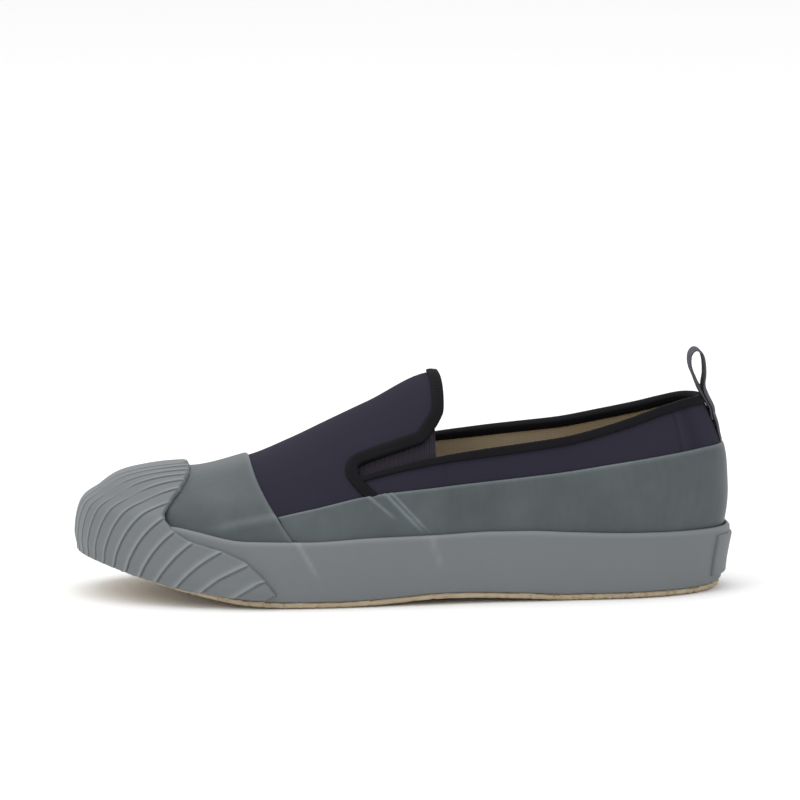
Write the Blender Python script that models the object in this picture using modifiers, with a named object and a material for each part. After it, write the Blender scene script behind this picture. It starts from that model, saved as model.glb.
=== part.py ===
"""Left slip-on sneaker with a ribbed toe cap, side slits with elastic gores and a heel pull loop.

Metres, +Z up. The toe points to -X, the outer (lateral) side of the foot is at -Y, and the shoe
stands on Z = 0. Every piece is worked out from one skin function, the outside of the upper.
"""

from collections import namedtuple
from math import pi

import bmesh
import bpy
import numpy as np
from mathutils import Vector

# Driving dimensions of the last
LAST_LENGTH = 0.277
END_POWER = 2.4
TOE_CENTRE = 0.233
HEEL_CENTRE = 0.036
TOE_DENT = 0.02
HEEL_PINCH = 0.42
MEDIAL_LIFT = 0.0020
CROWN_EASE = 0.010
HEEL_BULGE = 0.0030
HEEL_UNDERCUT = 0.0025

# Walls, laps and the clearance between pieces that touch
CLEAR = 0.0003
PANEL_CLEAR = 0.0005
UPPER_WALL = 0.0020
PANEL_WALL = 0.0010
TAPE_WALL = 0.0008
TAPE_DEPTH = 0.0045
GORE_WALL = 0.0012
INSOLE_WALL = 0.0040
CAP_WALL = 0.0016
CAP_CLEAR = 0.0007
TAB_WALL = 0.0014
WEBBING_WALL = 0.0011
WEBBING_WIDTH = 0.0130

# Sole sizes, measured outwards from the skin and upwards from the ground line
PANEL_FACE = PANEL_CLEAR + PANEL_WALL
BAND_BACK = PANEL_FACE + CLEAR
BAND_FACE = BAND_BACK + 0.0026
BAND_FOOT = 0.0030
EDGE_FACE = BAND_BACK + 0.0004
CORE_FACE = PANEL_FACE
TREAD_DEPTH = 0.0016
TREAD_PITCH = 0.0125

# Throat, slits and seams, measured along the last from the heel
THROAT = 0.1245
SLIT_FRONT = 0.1612
TAPE_END = SLIT_FRONT - 0.0035
SLIT_REAR_GAP = 0.0096
SLIT_FRONT_GAP = 0.0068
FLAP_CORNER = 0.0026
WALL_ROWS = 5
FLAP_ROWS = 6
SEAM_AT_CROWN = 0.2066
SEAM_SWEEP = 0.0291
SEAM_POWER = 2.8
SEAM_GAP = 0.0008

# Toe cap and its ribs, which run over the toe from back to front
CAP_TOP_GIRTH = 0.0560
CAP_WALL_GIRTH = 0.0220
CAP_FOOT = 0.0014
CAP_ROWS = 7
WING_TRIM = 0.985
RIB_PITCH = 0.0074
RIB_DEPTH = 0.0009
RIB_TILT = 8.4
RIB_EASE = 0.050

# Heel tab and pull loop
TAB_HEIGHT = 0.0185
TAB_REACH = 0.0062
TAB_FOOT = 0.0075
LOOP_TAIL = 0.0060

Plan = namedtuple("Plan", "from_heel lateral medial swing")
PLAN = (
    Plan(0.000, 0.0440, 0.0440, 0.0000),
    Plan(0.040, 0.0415, 0.0415, 0.0000),
    Plan(0.070, 0.0385, 0.0365, 0.0000),
    Plan(0.100, 0.0385, 0.0340, 0.0000),
    Plan(0.138, 0.0425, 0.0370, 0.0000),
    Plan(0.175, 0.0480, 0.0455, 0.0002),
    Plan(0.200, 0.0508, 0.0505, 0.0008),
    Plan(0.230, 0.0520, 0.0520, 0.0025),
    Plan(0.255, 0.0530, 0.0530, 0.0042),
    Plan(0.277, 0.0540, 0.0540, 0.0055),
)

Profile = namedtuple("Profile", "from_heel ground feather crown fullness crown_shift")
PROFILE = (
    Profile(-0.007, 0.0022, 0.0150, 0.0940, 4.0, 0.0000),
    Profile(0.004, 0.0006, 0.0148, 0.0940, 4.0, 0.0000),
    Profile(0.014, 0.0000, 0.0145, 0.0940, 4.0, 0.0000),
    Profile(0.036, 0.0000, 0.0143, 0.0940, 3.8, 0.0000),
    Profile(0.070, 0.0000, 0.0142, 0.0945, 2.5, 0.0000),
    Profile(0.090, 0.0012, 0.0140, 0.0950, 2.1, 0.0010),
    Profile(0.125, 0.0022, 0.0138, 0.0958, 1.9, 0.0025),
    Profile(0.155, 0.0004, 0.0125, 0.0827, 1.9, 0.0030),
    Profile(0.173, 0.0000, 0.0120, 0.0742, 2.0, 0.0025),
    Profile(0.189, 0.0000, 0.0118, 0.0665, 2.1, 0.0018),
    Profile(0.207, 0.0006, 0.0122, 0.0590, 2.3, 0.0010),
    Profile(0.233, 0.0052, 0.0150, 0.0533, 2.8, 0.0000),
    Profile(0.256, 0.0112, 0.0188, 0.0533, 3.0, 0.0000),
    Profile(0.277, 0.0172, 0.0228, 0.0533, 3.0, 0.0000),
    Profile(0.286, 0.0190, 0.0240, 0.0533, 3.0, 0.0000),
)

Lines = namedtuple("Lines", "from_heel collar panel_top band_top")
LINES = (
    Lines(-0.007, 0.0845, 0.0645, 0.0290),
    Lines(0.007, 0.0840, 0.0640, 0.0288),
    Lines(0.022, 0.0815, 0.0622, 0.0288),
    Lines(0.035, 0.0783, 0.0606, 0.0290),
    Lines(0.050, 0.0744, 0.0588, 0.0294),
    Lines(0.069, 0.0700, 0.0561, 0.0302),
    Lines(0.088, 0.0674, 0.0540, 0.0311),
    Lines(0.104, 0.0654, 0.0524, 0.0311),
    Lines(0.125, 0.0624, 0.0505, 0.0304),
    Lines(0.157, 0.0552, 0.0472, 0.0296),
    Lines(0.184, 0.0480, 0.0416, 0.0284),
    Lines(0.210, 0.0440, 0.0370, 0.0286),
    Lines(0.241, 0.0430, 0.0360, 0.0340),
    Lines(0.277, 0.0420, 0.0360, 0.0362),
    Lines(0.286, 0.0420, 0.0360, 0.0362),
)

CapEdge = namedtuple("CapEdge", "from_heel height")
CAP_EDGE = (
    CapEdge(0.2322, 0.0533),
    CapEdge(0.2332, 0.0530),
    CapEdge(0.2364, 0.0513),
    CapEdge(0.2386, 0.0492),
    CapEdge(0.2404, 0.0471),
    CapEdge(0.2428, 0.0448),
    CapEdge(0.2448, 0.0416),
    CapEdge(0.2456, 0.0383),
    CapEdge(0.2446, 0.0360),
    CapEdge(0.2396, 0.0316),
    CapEdge(0.2334, 0.0284),
    CapEdge(0.2200, 0.0246),
    CapEdge(0.2110, 0.0208),
    CapEdge(0.2040, 0.0148),
    CapEdge(0.1960, 0.0042),
)

# Pull loop above the collar: X and Z from the top of the strip on the heel, negative X towards the toe.
LOOP = (
    (-0.0023, 0.0053),
    (-0.0020, 0.0128),
    (-0.0027, 0.0183),
    (-0.0042, 0.0206),
    (-0.0060, 0.0215),
    (-0.0076, 0.0206),
    (-0.0088, 0.0183),
    (-0.0086, 0.0135),
    (-0.0060, 0.0079),
    (-0.0043, 0.0052),
)

# Stretches of the sole that carry tread grooves, from the heel
HEEL_TREAD = (0.016, 0.066)
BALL_TREAD = (0.150, 0.262)

Finish = namedtuple("Finish", "red green blue roughness")
FINISHES = {
    "band_rubber": Finish(126, 130, 132, 0.55),
    "panel_coating": Finish(104, 111, 112, 0.50),
    "navy_cloth": Finish(58, 56, 70, 0.85),
    "black_tape": Finish(30, 30, 35, 0.80),
    "gore_elastic": Finish(50, 47, 56, 0.90),
    "grey_webbing": Finish(84, 83, 90, 0.85),
    "gum_rubber": Finish(172, 156, 128, 0.60),
    "canvas": Finish(190, 176, 150, 0.90),
}


def along(table, column, x):
    """Value of a table's column at x, on a smooth curve through the rows that never overshoots them."""
    knots = np.array([row.from_heel for row in table])
    values = np.array([getattr(row, column) for row in table])
    rate = np.diff(values) / np.diff(knots)
    before, after = rate[:-1], rate[1:]
    total = np.where(before + after == 0, 1, before + after)
    inner = np.where(before * after > 0, 2 * before * after / total, 0)
    slopes = np.concatenate([rate[:1], inner, rate[-1:]])
    x = np.clip(np.asarray(x, float), knots[0], knots[-1])
    i = np.clip(np.searchsorted(knots, x, side="right") - 1, 0, len(knots) - 2)
    step = knots[i + 1] - knots[i]
    t = (x - knots[i]) / step
    start = values[i] * (1 + 2 * t) * (1 - t) ** 2 + slopes[i] * step * t * (1 - t) ** 2
    end = values[i + 1] * (3 - 2 * t) * t**2 + slopes[i + 1] * step * (t - 1) * t**2
    return start + end


def ease(low, high, value):
    """Smooth step from 0 at low to 1 at high."""
    t = np.clip((value - low) / (high - low), 0, 1)
    return t * t * (3 - 2 * t)


def turn_at(x, side):
    """Turn round the last at a distance from the heel. Side is -1 lateral, 1 medial."""
    c = 1 - 2 * np.asarray(x, float) / LAST_LENGTH
    c = np.clip(np.sign(c) * np.abs(c) ** (END_POWER / 2), -1, 1)
    return -side * np.arccos(c)


def feather(turn):
    """Feather line in plan: (distance from the heel, y). Turns run laterally from heel to toe."""
    c = np.cos(turn)
    x = LAST_LENGTH / 2 * (1 - np.sign(c) * np.abs(c) ** (2 / END_POWER))
    reach = np.abs(np.sin(turn)) ** (2 / END_POWER)
    lateral = np.sin(turn) >= 0
    half = np.where(lateral, along(PLAN, "lateral", x), along(PLAN, "medial", x))
    return x, along(PLAN, "swing", x) + np.where(lateral, -half, half) * reach


def crown_at(x):
    """Distance from the heel of the crown over x: x itself, eased at the heel centre, held at the toe's."""
    return np.minimum((x + HEEL_CENTRE + np.hypot(x - HEEL_CENTRE, CROWN_EASE)) / 2, TOE_CENTRE)


def heel_curve(x, z):
    """How far the heel stands back: undercut at the sole, out above the band, in again at the collar."""
    out = ease(0.004, 0.044, z) * (HEEL_BULGE + HEEL_UNDERCUT) - HEEL_UNDERCUT
    return (out - HEEL_BULGE * ease(0.056, 0.084, z)) * (1 - ease(0.0, 0.045, x))


def climb_at(x, rise):
    """Shares of the way in to the crown and up to it; the toe's top is dented to a slope and a shoulder."""
    power = 2 / along(PROFILE, "fullness", crown_at(x))
    angle = np.clip(rise, 0, 1) * pi / 2
    inset = 1 - np.abs(np.cos(angle)) ** power
    dent = TOE_DENT * ease(0.205, 0.240, x) * np.sin(pi * ease(0.08, 1.0, inset))
    return inset, np.abs(np.sin(angle)) ** power - dent


def skin_points(turn, rise):
    """Outside of the upper: rise 0 is the feather line, 1 the crown, and below 0 it drops straight."""
    x, y = feather(turn)
    crown_x = crown_at(x)
    crown_y = along(PLAN, "swing", crown_x) + along(PROFILE, "crown_shift", crown_x)
    base = along(PROFILE, "feather", x)
    height = along(PROFILE, "crown", crown_x) - base
    inset, lift = climb_at(x, rise)
    z = base + height * (lift + np.minimum(rise, 0))
    pinch = HEEL_PINCH * ease(0.0, 0.030, x) * (1 - ease(0.030, 0.095, x)) * ease(0.050, 0.088, z)
    width = (y - crown_y) * (1 - inset) * (1 - pinch)
    return np.stack([heel_curve(x, z) - x - (crown_x - x) * inset, crown_y + width, z], axis=-1)


def rise_at(turn, z):
    """The skin's rise at a height z on the given turn, found by halving."""
    x, _ = feather(turn)
    base = along(PROFILE, "feather", x)
    height = along(PROFILE, "crown", crown_at(x)) - base
    x, share = np.broadcast_arrays(x, (z - base) / height)
    low, high = np.zeros(share.shape), np.ones(share.shape)
    for _ in range(26):
        middle = (low + high) / 2
        below = climb_at(x, middle)[1] < share
        low, high = np.where(below, middle, low), np.where(below, high, middle)
    return np.where(share < 0, share, (low + high) / 2)


def skin(turn, rise, lift=0.0):
    """Points lifted off the skin along its outward normal."""
    turn, rise, lift = np.broadcast_arrays(turn, rise, lift)
    d = 1e-4
    upper, lower = np.minimum(rise + d, 1 - 1e-6), np.minimum(rise, 1 - 1e-6) - d
    up = skin_points(turn, upper) - skin_points(turn, lower)
    round_ = skin_points(turn + d, lower) - skin_points(turn - d, lower)
    normal = np.cross(up, round_)
    size = np.linalg.norm(normal, axis=-1, keepdims=True)
    normal = np.where(size > 1e-14, normal / np.maximum(size, 1e-14), [0.0, 0.0, 1.0])
    return skin_points(turn, rise) + normal * lift[..., None]


def edge(turn, z, out):
    """Points of the sole's side at a height z, moved straight out from the feather line."""
    turn, z, out = np.broadcast_arrays(turn, z, out)
    d = 1e-4
    before, after = feather(turn - d), feather(turn + d)
    tx, ty = -(after[0] - before[0]), after[1] - before[1]
    size = np.hypot(tx, ty)
    x, y = feather(turn)
    return np.stack([heel_curve(x, z) - x - ty / size * out, y + tx / size * out, z], axis=-1)


def material(name):
    """Principled material of a finish, made once."""
    made = bpy.data.materials.get(name)
    if made:
        return made
    finish = FINISHES[name]
    made = bpy.data.materials.new(name)
    made.use_nodes = True
    shader = made.node_tree.nodes["Principled BSDF"]
    srgb = np.array(finish[:3]) / 255
    linear = np.where(srgb <= 0.04045, srgb / 12.92, ((srgb + 0.055) / 1.055) ** 2.4)
    shader.inputs["Base Color"].default_value = (*linear, 1.0)
    shader.inputs["Roughness"].default_value = finish.roughness
    shader.inputs["Metallic"].default_value = 0.0
    return made


def loft(name, rings, finish, around=False, along_ends=False, caps=False, keep=None):
    """Object lofted through rings of points, closed around each ring or end to end where asked."""
    rows, columns = rings.shape[:2]
    index = np.arange(rows * columns).reshape(rows, columns)
    if around:
        index = np.concatenate([index, index[:, :1]], axis=1)
    if along_ends:
        index = np.concatenate([index, index[:1]], axis=0)
    quads = np.stack([index[:-1, :-1], index[1:, :-1], index[1:, 1:], index[:-1, 1:]], axis=-1)
    faces = quads[keep] if keep is not None else quads.reshape(-1, 4)
    faces = [list(map(int, face)) for face in faces]
    if caps:
        faces.append([int(i) for i in index[0, :columns]])
        faces.append([int(i) for i in index[-1, :columns][::-1]])
    mesh = bpy.data.meshes.new(name)
    mesh.from_pydata(rings.reshape(-1, 3).tolist(), [], faces)
    work = bmesh.new()
    work.from_mesh(mesh)
    bmesh.ops.remove_doubles(work, verts=work.verts, dist=2e-6)
    bmesh.ops.dissolve_degenerate(work, edges=work.edges, dist=2e-6)
    bmesh.ops.delete(work, geom=[v for v in work.verts if not v.link_faces], context="VERTS")
    if around or caps or along_ends:
        bmesh.ops.recalc_face_normals(work, faces=work.faces)
    work.to_mesh(mesh)
    work.free()
    obj = bpy.data.objects.new(name, mesh)
    bpy.data.collections["slip_on_sneaker"].objects.link(obj)
    mesh.materials.append(material(finish))
    mesh.shade_smooth()
    mesh.set_sharp_from_angle(angle=np.radians(40))
    return obj


def thicken(obj, wall):
    """Gives an open surface its wall, inwards."""
    solidify = obj.modifiers.new("wall", "SOLIDIFY")
    solidify.thickness = wall
    solidify.offset = -1
    solidify.use_quality_normals = True
    return obj


def spread(start, end, count):
    """Rows of values running evenly from each start to each end, as a grid."""
    share = np.linspace(0, 1, count)[:, None]
    return np.asarray(start) * (1 - share) + np.asarray(end) * share


def half_stations(count, *fixed):
    """Distances from the heel of one side's columns, closer at the ends, the fixed ones among them."""
    x = LAST_LENGTH / 2 * (1 - np.cos(np.linspace(0, pi, count)))
    for value in fixed:
        x[np.argmin(np.abs(x - value))] = value
    return x


def both_sides(x):
    """Turns from the heel along the lateral side to the toe and back along the medial side."""
    lateral, medial = turn_at(x, -1), turn_at(x[::-1], 1)
    return np.concatenate([lateral, medial[1:] + 2 * pi])


def slit_gap(x):
    """Height of the slit between collar and flap."""
    share = np.clip((SLIT_FRONT - x) / (SLIT_FRONT - THROAT), 0, 1)
    return SLIT_FRONT_GAP + (SLIT_REAR_GAP - SLIT_FRONT_GAP) * share


def collar_at(turn):
    """Height of the collar's edge, which dips a little less on the medial side."""
    x, _ = feather(turn)
    medial = ease(0.055, 0.090, x) * (1 - ease(0.130, 0.157, x)) * (np.sin(turn) < 0)
    return along(LINES, "collar", x) + MEDIAL_LIFT * medial


def upper_turns():
    """Turns of the upper's columns, the throat's, the slits' ends and the tapes' ends among them."""
    return both_sides(np.sort(np.append(half_stations(34, THROAT, SLIT_FRONT), TAPE_END)))


def slit_rises(turn):
    """Rises of the collar's edge and of the flap's lower edge, which turns up into the throat."""
    x, _ = feather(turn)
    corner = FLAP_CORNER * (1 - ease(THROAT, THROAT + 0.010, x))
    flap = along(LINES, "collar", x) + slit_gap(x) + corner
    return rise_at(turn, collar_at(turn)), rise_at(turn, flap)


def flap_rises(turn):
    """Rises of the rows from the flap's lower edge to the crown."""
    return spread(slit_rises(turn)[1], np.ones_like(turn), FLAP_ROWS)


def make_upper():
    """One hollow wall from the feather line to the collar, with the vamp's flap between two slits."""
    turn = upper_turns()
    distance, _ = feather(turn)
    wall_rises = spread(np.zeros_like(turn), slit_rises(turn)[0], WALL_ROWS)
    rises = np.concatenate([wall_rises, flap_rises(turn)])
    points = skin(np.broadcast_to(turn, rises.shape), rises)
    middle = ((distance[:-1] + distance[1:]) / 2)[None, :]
    row = np.arange(rises.shape[0] - 1)[:, None]
    wall, slit = row < WALL_ROWS - 1, row == WALL_ROWS - 1
    keep = wall | (slit & (middle > SLIT_FRONT)) | (~slit & (middle > THROAT))
    return thicken(loft("upper", points, "navy_cloth", keep=keep), UPPER_WALL)


def seam(rise):
    """Distance from the heel of the seam between vamp panel and side panel, at a rise on the skin."""
    return SEAM_AT_CROWN - SEAM_SWEEP * (1 - rise) ** SEAM_POWER


def make_vamp_panel():
    """Coated panel over the toe box, from the seam forward, on the upper's own rows and columns."""
    turn = upper_turns()
    distance, _ = feather(turn)
    front = turn[(turn <= pi) & (distance > SEAM_AT_CROWN + 0.001)]
    wall_rises = spread(np.zeros_like(front), slit_rises(front)[0], WALL_ROWS)
    rises = np.concatenate([wall_rises, flap_rises(front)])
    start = turn_at(seam(rises[:, :1]), -1)
    strip = start + (front[0] - start) * np.array([0.0, 0.25, 0.5, 0.75])
    lateral = np.concatenate([strip, np.broadcast_to(front, rises.shape)], axis=1)
    rises = np.concatenate([np.repeat(rises[:, :1], 4, axis=1), rises], axis=1)
    turns = np.concatenate([lateral, 2 * pi - lateral[:, -2::-1]], axis=1)
    points = skin(turns, np.concatenate([rises, rises[:, -2::-1]], axis=1), PANEL_FACE)
    return thicken(loft("vamp_panel", points, "panel_coating"), PANEL_WALL)


def make_side_panel():
    """Coated panel round the sides and the heel, behind the seam."""
    share = np.linspace(0, 1, 6)[:, None]
    reach = np.linspace(-1, 1, 49)[None, :]
    rise = 0.36 * share
    for _ in range(4):
        front = seam(rise)
        rise = share * rise_at(turn_at(front, -1), along(LINES, "panel_top", front))
    turn = turn_at(front - SEAM_GAP, -1) * reach
    distance, _ = feather(turn)
    top = rise_at(turn, along(LINES, "panel_top", distance))
    points = skin(turn, top * share, PANEL_FACE)
    return thicken(loft("side_panel", points, "panel_coating"), PANEL_WALL)


def make_outsole():
    """Gum sole: tread, thin edge under the band, and the core that carries upper and insole."""
    grooves = [np.arange(low, high, TREAD_PITCH) for low, high in (HEEL_TREAD, BALL_TREAD)]
    starts = np.concatenate(grooves)
    walls = starts[:, None] + np.array([0.0, 0.0008, 0.0034, 0.0042])
    plain = LAST_LENGTH / 2 * (1 - np.cos(np.linspace(0, pi, 23)))
    inside = (np.abs(plain[:, None] - starts - 0.0021) < 0.0040).any(axis=1)
    x = np.sort(np.concatenate([plain[~inside], walls.ravel()]))
    cut = np.isin(x, walls[:, 1:3])
    rings = []
    lateral, medial = turn_at(x, -1), turn_at(x, 1)
    ground = along(PROFILE, "ground", x)
    top = along(PROFILE, "feather", x) - CLEAR
    raised = ground + TREAD_DEPTH * cut
    levels = ((raised, -0.0040), (raised, -0.0006), (ground + BAND_FOOT - CLEAR, EDGE_FACE),
              (ground + BAND_FOOT - CLEAR, CORE_FACE), (top, CORE_FACE))
    for z, out in levels:
        rings.append(edge(lateral, z, out))
    for z, out in levels[::-1]:
        rings.append(edge(medial, z, out))
    return loft("outsole", np.stack(rings, axis=1), "gum_rubber", around=True)


def make_insole():
    """Footbed on the outsole's core, inside the upper."""
    x = half_stations(23)[1:-1]
    inside = -UPPER_WALL - 2 * CLEAR
    bottom = along(PROFILE, "feather", x) + CLEAR
    rings = [
        edge(turn_at(x, -1), bottom, inside),
        edge(turn_at(x, -1), bottom + INSOLE_WALL, inside - 0.0006),
        edge(turn_at(x, 1), bottom + INSOLE_WALL, inside - 0.0006),
        edge(turn_at(x, 1), bottom, inside),
    ]
    return loft("insole", np.stack(rings, axis=1), "canvas", around=True, caps=True)


def make_band():
    """Rubber band round the shoe: undercut foot, full middle and rounded lip, leaning with the skin."""
    turn = both_sides(half_stations(31))[:-1]
    distance, _ = feather(turn)
    foot = along(PROFILE, "ground", distance) + BAND_FOOT
    top = along(LINES, "band_top", distance)
    outline = (
        (0.00, BAND_BACK), (0.00, BAND_FACE - 0.0018), (0.14, BAND_FACE - 0.0007), (0.45, BAND_FACE),
        (0.85, BAND_FACE - 0.0003), (0.97, BAND_FACE - 0.0011), (1.00, BAND_FACE - 0.0019),
        (1.00, BAND_BACK), (0.75, BAND_BACK), (0.45, BAND_BACK),
    )
    rings = [skin(turn, rise_at(turn, foot + (top - foot) * share), out) for share, out in outline]
    return loft("foxing_band", np.stack(rings, axis=1), "band_rubber", around=True, along_ends=True)


def rib_girth(rise):
    """Distance across the ribs from the crown down to a rise, over the toe's top and down its wall."""
    inset, lift = climb_at(np.full(np.shape(rise), TOE_CENTRE + 0.010), rise)
    return CAP_TOP_GIRTH * (1 - inset) + CAP_WALL_GIRTH * (1 - lift - np.minimum(rise, 0))


def rib_count(turn, rise):
    """Distance across the ribs from the middle one: the girth, fanned in at the toe and out on the wing."""
    x, _ = feather(turn)
    fan = np.sin(turn) / np.sin(turn_at(TOE_CENTRE, -1))
    wing = 1 + RIB_TILT * RIB_EASE * (1 - np.exp((x - TOE_CENTRE) / RIB_EASE))
    return rib_girth(rise) * np.where(x > TOE_CENTRE, fan, wing)


def rib_turn(across, rise):
    """Lateral turn where a rib crosses a rise, the inverse of the count across the ribs."""
    share = across / np.maximum(rib_girth(rise), 1e-7)
    fan = pi - np.arcsin(np.clip(share, 0, 1) * np.sin(turn_at(TOE_CENTRE, -1)))
    beyond = np.clip((share - 1) / (RIB_TILT * RIB_EASE), 0, 0.99)
    wing = turn_at(TOE_CENTRE + RIB_EASE * np.log(1 - beyond), -1)
    return np.where(share <= 1, fan, wing)


def cap_foot(turn):
    """Rise of the cap's lower edge: just above the foot of the band, and lower at the toe itself."""
    x, _ = feather(turn)
    foot = BAND_FOOT + 0.0006 + (CAP_FOOT - BAND_FOOT - 0.0006) * ease(0.205, 0.245, x)
    return rise_at(turn, along(PROFILE, "ground", x) + foot)


def make_toe_cap():
    """Ribbed cap over the toe with a wing along the band at each side, lofted rib by rib."""
    rows = np.linspace(0, len(CAP_EDGE) - 1, 113)
    from_heel = np.interp(rows, np.arange(len(CAP_EDGE)), [row.from_heel for row in CAP_EDGE])
    height = np.interp(rows, np.arange(len(CAP_EDGE)), [row.height for row in CAP_EDGE])
    edge_turn = turn_at(from_heel, -1)
    edge_rise = rise_at(edge_turn, height)
    edge_across = rib_count(edge_turn, edge_rise)
    foot_turn = np.linspace(pi, edge_turn[-1], 80)
    foot_rise = cap_foot(foot_turn)
    foot_across = rib_count(foot_turn, foot_rise)
    widest = min(edge_across[-1], foot_across[-1]) * WING_TRIM
    steps = (np.arange(0, 40)[:, None] + np.array([0.25, 0.50, 0.75])).ravel() * RIB_PITCH
    across = np.concatenate([[0.0], steps[steps < widest], [widest]])
    top = np.interp(across, edge_across, edge_rise)
    low = np.interp(across, foot_across, foot_rise)
    rise = spread(low, top, CAP_ROWS)
    turn = rib_turn(np.broadcast_to(across, rise.shape), rise)
    x, _ = feather(turn)
    z = skin_points(turn, rise)[..., 2]
    band_top = along(LINES, "band_top", x)
    over_band = 1 - ease(band_top + 0.001, band_top + 0.008, z)
    foot = along(PROFILE, "ground", x) + BAND_FOOT
    undercut = 0.0006 * (1 - ease(foot, foot + 0.006, z))
    back = (PANEL_FACE * (1 - over_band) + BAND_FACE * over_band) + CAP_CLEAR
    face = back - undercut + CAP_WALL
    rib = RIB_DEPTH * ease(0.0, 0.2, np.abs(across / RIB_PITCH % 1 - 0.5))
    lateral = skin(turn, rise, face + rib)
    medial = skin(2 * pi - turn, rise, face + rib)
    points = np.concatenate([lateral[:, :0:-1], medial], axis=1)
    return thicken(loft("toe_cap", points, "band_rubber"), CAP_WALL)


def make_heel_tab():
    """Plain raised plate at the back of the band."""
    turn = np.linspace(-1, 1, 9) * turn_at(TAB_REACH, -1)
    rows = np.linspace(TAB_FOOT, TAB_FOOT + TAB_HEIGHT, 5)[:, None]
    out = BAND_FACE + CLEAR + TAB_WALL
    points = edge(np.broadcast_to(turn, (5, 9)), np.broadcast_to(rows, (5, 9)), out)
    return thicken(loft("heel_tab", points, "band_rubber"), TAB_WALL)


def tape(name, turn, rise, inward_turn, inward_rise):
    """Tape folded over an edge of the upper. The second path runs along the upper's next row."""
    at_edge, inside = skin(turn, rise), skin(inward_turn, inward_rise)
    down = inside - at_edge
    down /= np.linalg.norm(down, axis=-1, keepdims=True)
    out = skin(turn, rise, 0.001) - at_edge
    out -= down * (down * out).sum(axis=-1, keepdims=True)
    out /= np.linalg.norm(out, axis=-1, keepdims=True)
    face, back = CLEAR, -UPPER_WALL - CLEAR
    outline = (
        (face, TAPE_DEPTH), (face + TAPE_WALL, TAPE_DEPTH), (face + TAPE_WALL, -CLEAR - TAPE_WALL),
        (back - TAPE_WALL, -CLEAR - TAPE_WALL), (back - TAPE_WALL, TAPE_DEPTH), (back, TAPE_DEPTH),
        (back, -CLEAR), (face, -CLEAR),
    )
    rings = [at_edge + out * o + down * d for o, d in outline]
    return loft(name, np.stack(rings, axis=1), "black_tape", around=True, caps=True)


def slit_turns():
    """Lateral turns of the upper's columns beside the slit, from near its front end to the throat."""
    turn = upper_turns()
    x, _ = feather(turn)
    return turn[(turn < pi) & (x < TAPE_END + 1e-6) & (x > THROAT - 1e-6)][::-1]


def make_collar_binding():
    """Tape over the collar, from one slit round the heel to the other."""
    turn = upper_turns()
    x, _ = feather(turn)
    lateral = np.concatenate([turn[(turn < pi) & (x < THROAT - 1e-6)], slit_turns()[::-1]])
    turn = np.concatenate([-lateral[:0:-1], lateral])
    rise = slit_rises(turn)[0]
    return tape("collar_binding", turn, rise, turn, rise * (WALL_ROWS - 2) / (WALL_ROWS - 1))


def make_vamp_binding():
    """Tape over the flap's edge, from the front of one slit over the crown to the other."""
    low = slit_turns()
    rows = flap_rises(low)
    turn = np.concatenate([low, np.full(FLAP_ROWS - 1, low[-1])])
    rise = np.concatenate([rows[0], rows[1:, -1]])
    into_turn = np.concatenate([low[:-1], np.full(FLAP_ROWS, low[-2])])
    into_rise = np.concatenate([rows[1, :-1], rows[1:2, -2], rows[1:, -2]])
    mirror = slice(-2, None, -1)
    return tape(
        "vamp_binding",
        np.concatenate([turn, -turn[mirror]]), np.concatenate([rise, rise[mirror]]),
        np.concatenate([into_turn, -into_turn[mirror]]), np.concatenate([into_rise, into_rise[mirror]]),
    )


def make_gore(name, side):
    """Elastic gore behind a slit, under the flap and the collar."""
    x = np.linspace(THROAT + 0.002, SLIT_FRONT + 0.004, 9)[None, :]
    collar = along(LINES, "collar", x)
    turn = turn_at(x, side)
    low, high = rise_at(turn, collar - 0.008), rise_at(turn, collar + slit_gap(x) + 0.008)
    rise = spread(low[0], high[0], 5)
    under = -UPPER_WALL - 2 * CLEAR - TAPE_WALL - 0.0002
    points = skin(np.broadcast_to(turn, rise.shape), rise, under)
    if side > 0:
        points = points[:, ::-1]
    return thicken(loft(name, points, "gore_elastic"), GORE_WALL)


def loop_path():
    """Middle line of the webbing as (x, z): up the heel, round the loop and back under itself."""
    start = along(LINES, "panel_top", 0.0) + 0.0012
    collar = along(LINES, "collar", 0.0)
    z = np.linspace(start, collar - 0.002, 8)
    under = CLEAR + TAPE_WALL + CLEAR + WEBBING_WALL / 2
    low = CLEAR + WEBBING_WALL / 2
    out = low + (under + WEBBING_WALL + CLEAR - low) * ease(collar - 0.019, collar - 0.009, z)
    climb = skin(np.zeros(8), rise_at(np.zeros(8), z), out)[:, [0, 2]]
    tail_z = np.linspace(collar - 0.001, collar - LOOP_TAIL, 3)
    tail = skin(np.zeros(3), rise_at(np.zeros(3), tail_z), np.full(3, under))[:, [0, 2]]
    return np.concatenate([climb, climb[-1] + np.array(LOOP), tail])


def make_pull_loop():
    """Webbing strip sewn up the heel, looped over the collar and sewn down inside it."""
    path = loop_path()
    y = np.linspace(-1, 1, 5) * WEBBING_WIDTH / 2
    radius = HEEL_CENTRE
    bend = radius - np.sqrt(radius**2 - y**2)
    hug = 1 - ease(0.086, 0.094, path[:, 1])
    x = path[:, :1] - bend * hug[:, None]
    points = np.stack([x, np.broadcast_to(y, x.shape), np.broadcast_to(path[:, 1:], x.shape)], axis=-1)
    obj = loft("pull_loop", points, "grey_webbing")
    thicken(obj, WEBBING_WALL).modifiers["wall"].offset = 0
    return obj


def centre_on_floor(objects):
    """Moves the shoe so that its box is centred on the origin and stands on Z = 0."""
    bpy.context.view_layer.update()
    graph = bpy.context.evaluated_depsgraph_get()
    corners = np.array([
        corner for obj in objects for corner in obj.evaluated_get(graph).bound_box
    ])
    low, high = corners.min(axis=0), corners.max(axis=0)
    root = bpy.data.objects.new("shoe", None)
    bpy.data.collections["slip_on_sneaker"].objects.link(root)
    root.location = Vector((-(low[0] + high[0]) / 2, -(low[1] + high[1]) / 2, -low[2]))
    for obj in objects:
        obj.parent = root


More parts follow.
